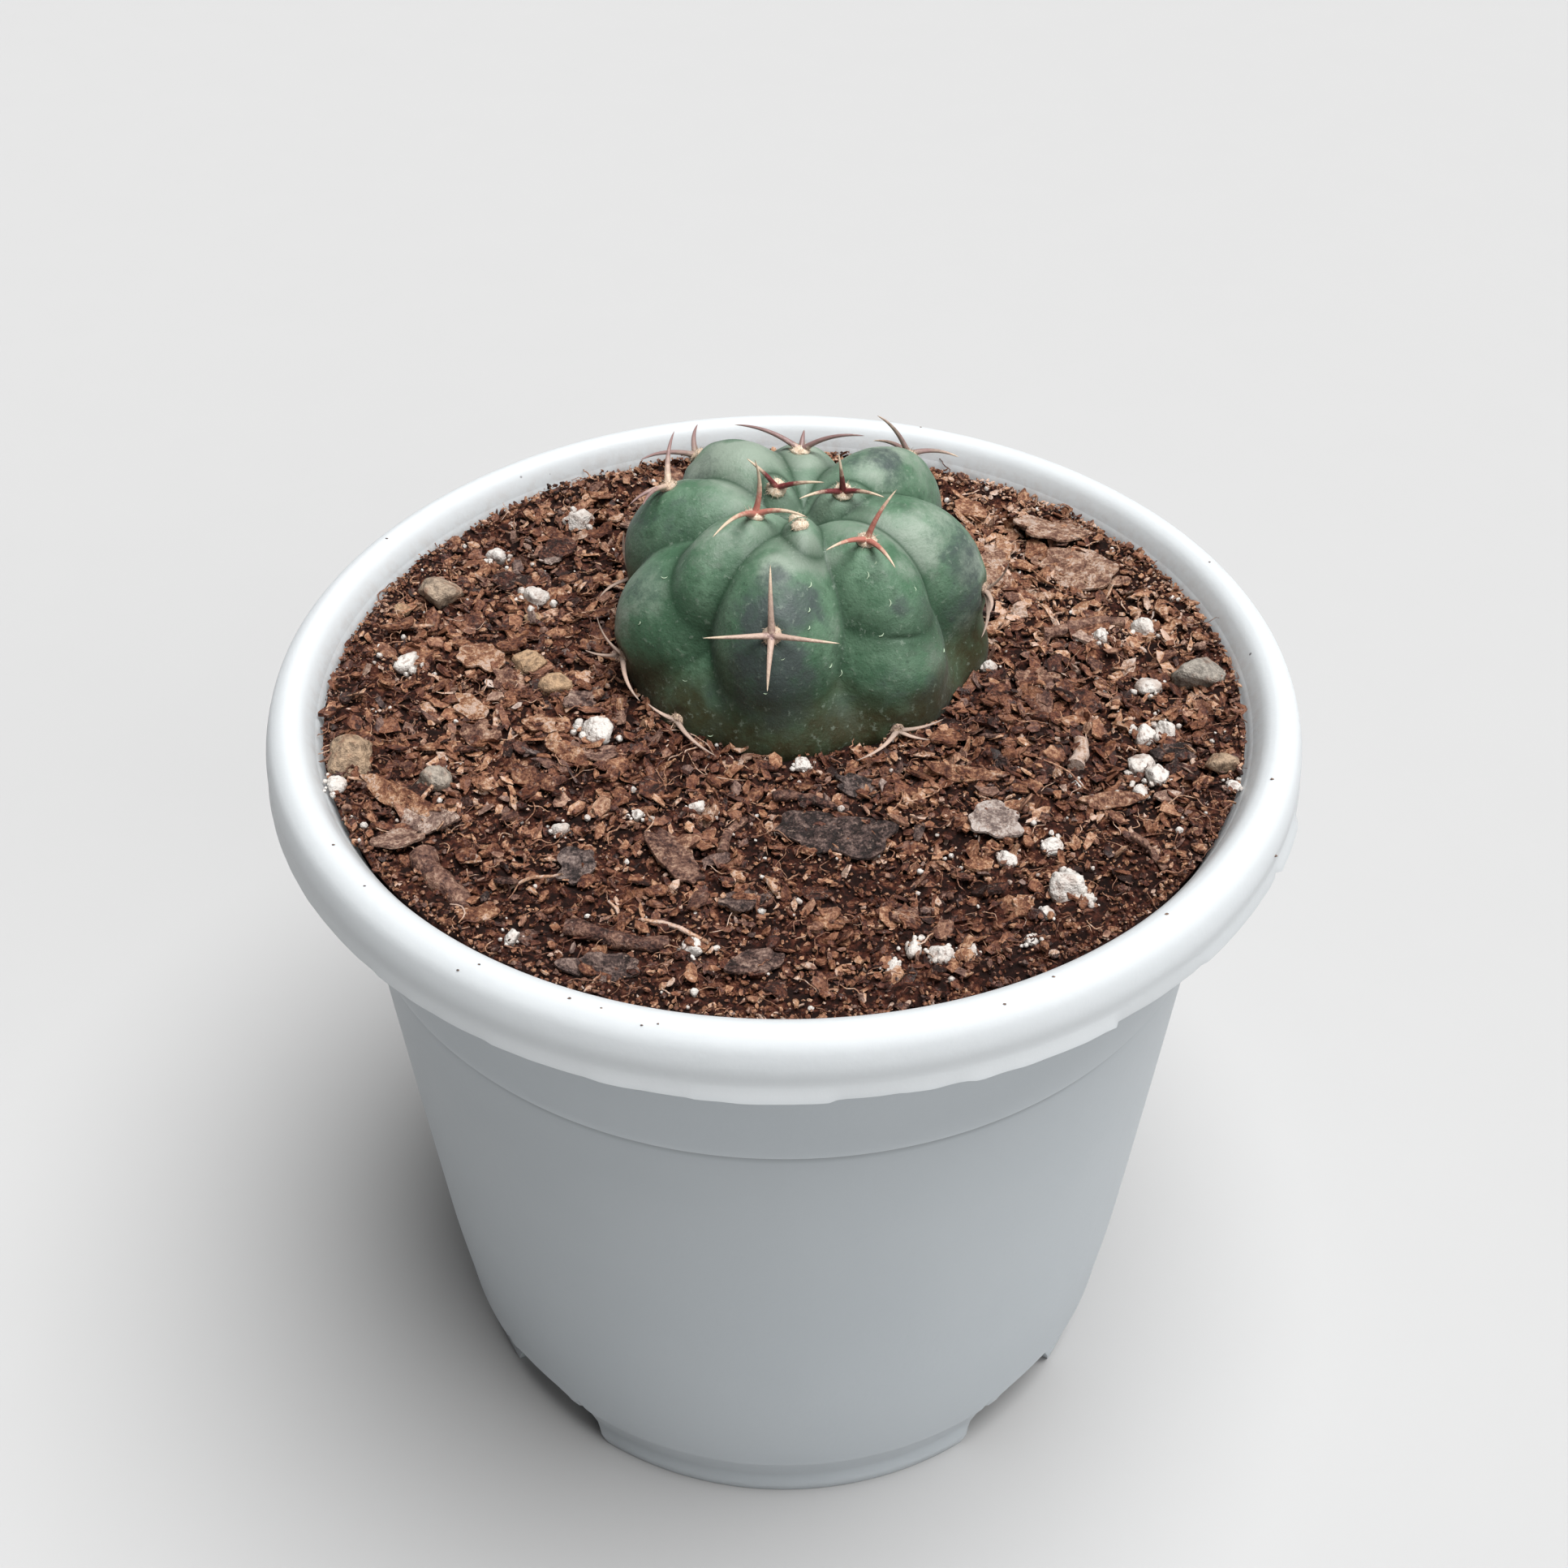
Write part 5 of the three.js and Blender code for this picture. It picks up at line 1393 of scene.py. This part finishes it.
class SoilLook(PropertyGroup):
    dark: colour_property("Dark", "Colour of the wettest, darkest bark", (0.018, 0.006, 0.004))
    maroon: colour_property("Maroon", "Colour of damp bark", (0.070, 0.020, 0.012))
    red: colour_property("Red brown", "Colour of most of the bark", (0.148, 0.055, 0.028))
    brown: colour_property("Brown", "Colour of drier bark", (0.255, 0.112, 0.060))
    tan: colour_property("Tan", "Colour of pale chips and straw", (0.44, 0.245, 0.140))
    pale: colour_property("Pale", "Colour of dust and bleached flakes", (0.54, 0.38, 0.30))
    perlite: colour_property("Perlite", "Colour of the perlite", (0.64, 0.60, 0.56))
    stain: colour_property("Stain", "Colour of stains on the perlite", (0.30, 0.19, 0.14))
    pebble: colour_property("Pebble", "Colour of the grey pebbles", (0.32, 0.295, 0.26))
    sand: colour_property("Sand", "Colour of the sandy pebbles", (0.42, 0.275, 0.165))
    chips: count_property("Chips", "How many bark chips are strewn", 6000)
    flakes: count_property("Flakes", "How many middling flakes of bark are strewn", 330)
    crumbs: count_property("Crumbs", "How many small crumbs are strewn", 15500)
    fibres: count_property("Fibres", "How many coir fibres are strewn", 900)
    grains: count_property("Grains", "How many small perlite grains are strewn", 230)


class SkinLook(PropertyGroup):
    green: colour_property("Green", "Main colour of the skin", (0.056, 0.128, 0.071))
    light: colour_property("Light green", "Colour of the paler mottling", (0.112, 0.200, 0.127))
    young: colour_property("Young green", "Colour of the young skin at the crown", (0.25, 0.35, 0.265))
    # The bloom colour also paints light on the tops and on the lower right front
    bloom_and_painted_light: colour_property("Bloom", "Colour of the pale waxy bloom", (0.265, 0.325, 0.262))
    # The blush colour also paints shade on the left of the plant
    blush_and_painted_shade: colour_property("Blush", "Colour of the dark blushes", (0.058, 0.077, 0.072))
    # The groove colour paints shade in the grooves, and also darkens the mottling
    groove: colour_property("Groove", "Colour in the grooves", (0.017, 0.046, 0.023))
    # This colour also paints shade at the foot of the plant
    earth_and_painted_shade: colour_property("Earth", "Colour of the stained foot of the plant", (0.034, 0.031, 0.011))
    scar: colour_property("Scars", "Colour of the small scars", (0.30, 0.38, 0.27))
    roughness: factor_property("Roughness", "Roughness of the skin", 0.5)
    columns: count_property("Columns", "Columns of points round the plant", 480)
    rows: count_property("Rows", "Rows of points from the crown to the soil", 160)


class SpineLook(PropertyGroup):
    felt: colour_property("Felt", "Colour of young felt", (0.80, 0.70, 0.56))
    felt_old: colour_property("Old felt", "Colour of weathered felt", (0.27, 0.185, 0.15))
    felt_shade: colour_property("Felt shade", "Colour deep in the felt", (0.62, 0.47, 0.34))
    red: colour_property("Red", "Colour of the youngest spines near the foot", (0.165, 0.035, 0.037))
    rose: colour_property("Rose", "Colour of young spines near the foot", (0.45, 0.175, 0.135))
    mauve: colour_property("Mauve", "Colour of dulled spines", (0.25, 0.155, 0.145))
    bone: colour_property("Bone", "Colour of grown spines", (0.46, 0.33, 0.265))
    cream: colour_property("Cream", "Colour of the tips", (0.62, 0.49, 0.36))
    weathered: colour_property("Weathered", "Colour of old spines", (0.30, 0.225, 0.185))
    sides: count_property("Sides", "Sides of a spine's section", 12)
    hairs: count_property("Hairs", "Felt hairs on an areole", 70)


class StageLook(PropertyGroup):
    floor: colour_property("Floor", "Colour of the floor", (0.44, 0.44, 0.44))
    sky: strength_property("Sky", "Strength of the even light", 0.02)
    key: strength_property("Key", "Strength of the light overhead", 5.3)
    key_turn: angle_property("Key turn", "Which side the light overhead leans to", 80)
    key_climb: angle_property("Key climb", "How high the light overhead stands", 79)
    key_spread: angle_property("Key spread", "How wide the light overhead is", 44)
    fill: strength_property("Fill", "Strength of the low light", 1.15)
    fill_turn: angle_property("Fill turn", "Which side the low light comes from", 36)
    fill_climb: angle_property("Fill climb", "How high the low light stands", 25)
    fill_spread: angle_property("Fill spread", "How wide the low light is", 50)
    lens: FloatProperty(
        name="Lens", description="Focal length on a 36 mm sensor", default=46.58, subtype="DISTANCE_CAMERA",
    )
    camera_height: length_property("Height", "Height of the camera", 0.21549)
    camera_back: length_property("Back", "How far in front of the pot the camera stands", 0.16601)
    camera_down: angle_property("Tilt", "How far the camera looks down", 40.222)


# The steps, one for each group of pieces and one for the stage


class BuildPot(Operator):
    """Turn the pot from its section, cut its arches and drains and ruffle its lip"""

    bl_idname = "thelocactus.build_pot"
    bl_label = "Pot"

    def execute(self, context):
        look = context.scene.pot_look
        points, faces = pot_points(look.steps)
        pot = make_piece("pot_shell", points, faces, moulded_plastic(look), ["pot"])
        drill_drains(pot)
        pot.data.set_sharp_from_angle(angle=math.radians(POT_SHARP))

        turn, radius, height, size = np.array(RIM_SPECKS).T
        centres = outward(np.radians(turn)) * radius[:, None] + UP * height[:, None]
        sizes = size[:, None] * (0.9, 0.6, 0.3)
        points, faces = balls(centres, sizes, rings=5, columns=9, lumps=0.4, cell=0.5)
        make_piece("rim_specks", points, faces, dirt(look))
        return {"FINISHED"}


class BuildSoilBed(Operator):
    """Lay the fine part of the soil, from the plant's socket to the wall"""

    bl_idname = "thelocactus.build_soil_bed"
    bl_label = "Soil bed"

    def execute(self, context):
        points, faces = soil_bed(columns=420, rings=104)
        make_piece("soil_bed", points, faces, soil_ground(context.scene.soil_look), ["soil"])
        return {"FINISHED"}


class StrewBark(Operator):
    """Strew bark chips, crumbs and flakes, and lay the larger plates"""

    bl_idname = "thelocactus.strew_bark"
    bl_label = "Bark"

    def execute(self, context):
        look = context.scene.soil_look
        material = bark(look)
        random = np.random.default_rng(11)
        lay_chips(look, material, random)
        lay_crumbs(look, material, random)
        lay_flakes(look, random)
        lay_plates(look, random)
        return {"FINISHED"}


class LayTwigs(Operator):
    """Lay the twigs, the straws and the coir fibres"""

    bl_idname = "thelocactus.lay_twigs"
    bl_label = "Twigs and fibres"

    def execute(self, context):
        look = context.scene.soil_look
        lay_twigs(look)
        lay_fibres(look, np.random.default_rng(23))
        return {"FINISHED"}


class ScatterPerlite(Operator):
    """Place the perlite, with crumbs round each large grain, and the pebbles"""

    bl_idname = "thelocactus.scatter_perlite"
    bl_label = "Perlite and pebbles"

    def execute(self, context):
        look = context.scene.soil_look
        random = np.random.default_rng(31)
        lay_perlite(look, random)
        lay_pebbles(look, random)
        return {"FINISHED"}


class BuildSkin(Operator):
    """Grow the plant's body from its tubercles, with its grooves, creases and small scars"""

    bl_idname = "thelocactus.build_skin"
    bl_label = "Plant body"

    def execute(self, context):
        look = context.scene.skin_look
        points, faces, values = skin_surface(look.columns, look.rows, below=12)
        make_piece("cactus_skin", points, faces, waxy_skin(look), ["cactus_body"], values)
        lay_scars(look, np.random.default_rng(5))
        return {"FINISHED"}


class BuildSpines(Operator):
    """Set the spines of every areole, each a curved horn with its own colours along it"""

    bl_idname = "thelocactus.build_spines"
    bl_label = "Spines"

    def execute(self, context):
        look = context.scene.spine_look
        along = np.repeat(np.linspace(0, 1, SPINE_STEPS), look.sides)
        for name, turn, climb, age, spines in AREOLES:
            paths = spine_paths(spines, turn, climb)
            points, faces = tubes(paths, spine_radii(len(spines), age), look.sides, SPINE_FLATNESS[age])
            stops = SPINE_COLOURS.get(name, SPINE_COLOURS[age])
            colours = [(place, getattr(look, key)) for place, key in stops]
            material = horn("horn_" + name, colours, SPINE_ROUGHNESS[age])
            nodes = ["spines_" + name]
            make_piece("spine_set_" + name, points, faces, material, nodes, {"along": along})
        return {"FINISHED"}


class BuildFelt(Operator):
    """Set the felt: a cushion and short hairs at every areole, and the two young tufts"""

    bl_idname = "thelocactus.build_felt"
    bl_label = "Felt"

    def execute(self, context):
        look = context.scene.spine_look
        material = woolly_felt(look)
        random = np.random.default_rng(3)
        all_points, all_faces, tones, total = [], [], [], 0
        for _, turn, climb, age, _ in AREOLES:
            radius = PAD_RADIUS[age]
            points, faces = cushion(turn, climb, radius, 0.5 * radius, random, look.hairs)
            all_faces += [group + total for group in faces]
            all_points.append(points)
            tones.append(np.full(len(points), FELT_AGE[age]))
            total += len(points)
        points, tones = np.concatenate(all_points), np.concatenate(tones)
        make_piece("areole_felt", points, all_faces, material, values={"tone": tones})
        for name, turn, climb, radius, height in FELT_TUFTS:
            points, faces = cushion(turn, climb, radius, height, random, 2 * look.hairs, reach=0.24)
            nodes = ["felt_" + name]
            make_piece("felt_tuft_" + name, points, faces, material, nodes, {"tone": [0.0]})
        return {"FINISHED"}


class SetStage(Operator):
    """Set the pale floor, the even light, the key and fill lights and the camera"""

    bl_idname = "thelocactus.set_stage"
    bl_label = "Stage"

    def add_floor(self, scene, look):
        """A wide square floor, very slightly mottled."""
        corners = [(FLOOR_HALF * x, FLOOR_HALF * y, 0) for x, y in ((-1, -1), (1, -1), (1, 1), (-1, 1))]
        mesh = bpy.data.meshes.new("floor")
        mesh.from_pydata(corners, [], [(0, 1, 2, 3)])
        paint = Finish("floor_paint", 0.9, 0.1, look.floor)
        paint.cover(paint.remap(paint.noise(60, 2.0), 0.3, 0.7, 0.005, 0.0), (0.0, 0.0, 0.0))
        mesh.materials.append(paint.done())
        floor = bpy.data.objects.new("floor", mesh)
        scene.collection.objects.link(floor)

    def add_sky(self, scene, look):
        """Even white light from everywhere."""
        world = bpy.data.worlds.new("studio")
        world.use_nodes = True
        background = world.node_tree.nodes["Background"]
        background.inputs["Color"].default_value = (1.0, 1.0, 1.0, 1.0)
        background.inputs["Strength"].default_value = look.sky
        scene.world = world

    def add_sun(self, scene, name, strength, turn, climb, spread):
        """A wide far light that stands at an angle round the pot and above the floor."""
        sun = bpy.data.lights.new(name, "SUN")
        sun.energy = strength
        sun.angle = spread
        light = bpy.data.objects.new(name, sun)
        light.rotation_euler = (math.pi / 2 - climb, 0, turn)
        scene.collection.objects.link(light)

    def add_camera(self, scene, look):
        """The photograph's camera: in front of the pot, looking down at it."""
        lens = bpy.data.cameras.new("camera")
        lens.sensor_width = 36.0
        lens.lens = look.lens
        lens.clip_start = 0.01
        camera = bpy.data.objects.new("camera", lens)
        camera.location = (0, -look.camera_back, look.camera_height)
        camera.rotation_euler = (math.pi / 2 - look.camera_down, 0, 0)
        scene.collection.objects.link(camera)
        scene.camera = camera

    def execute(self, context):
        look = context.scene.stage_look
        scene = context.scene
        self.add_floor(scene, look)
        self.add_sky(scene, look)
        self.add_sun(scene, "key", look.key, look.key_turn, look.key_climb, look.key_spread)
        self.add_sun(scene, "fill", look.fill, look.fill_turn, look.fill_climb, look.fill_spread)
        self.add_camera(scene, look)
        scene.view_settings.view_transform = "Standard"
        return {"FINISHED"}


class CactusPanel(Panel):
    """Lists the builder's steps and what they read"""

    bl_idname = "VIEW3D_PT_thelocactus"
    bl_label = "Potted Thelocactus"
    bl_space_type = "VIEW_3D"
    bl_region_type = "UI"
    bl_category = "Cactus"

    def draw(self, context):
        for operator in OPERATORS:
            self.layout.operator(operator.bl_idname)
        for name in LOOKS:
            look = getattr(context.scene, name)
            box = self.layout.box()
            for key in look.__annotations__:
                box.prop(look, key)


LOOKS = {
    "pot_look": PotLook,
    "soil_look": SoilLook,
    "skin_look": SkinLook,
    "spine_look": SpineLook,
    "stage_look": StageLook,
}
OPERATORS = [
    SetStage, BuildPot, BuildSoilBed, StrewBark, LayTwigs, ScatterPerlite, BuildSkin, BuildSpines, BuildFelt,
]


def register():
    for kind in [*LOOKS.values(), *OPERATORS, CactusPanel]:
        bpy.utils.register_class(kind)
    for name, kind in LOOKS.items():
        setattr(bpy.types.Scene, name, PointerProperty(type=kind))


def unregister():
    for name in LOOKS:
        delattr(bpy.types.Scene, name)
    for kind in [CactusPanel, *reversed(OPERATORS), *reversed(LOOKS.values())]:
        bpy.utils.unregister_class(kind)


def main():
    register()
    for operator in OPERATORS:
        group, name = operator.bl_idname.split(".")
        getattr(getattr(bpy.ops, group), name)()


if __name__ == "__main__":
    main()
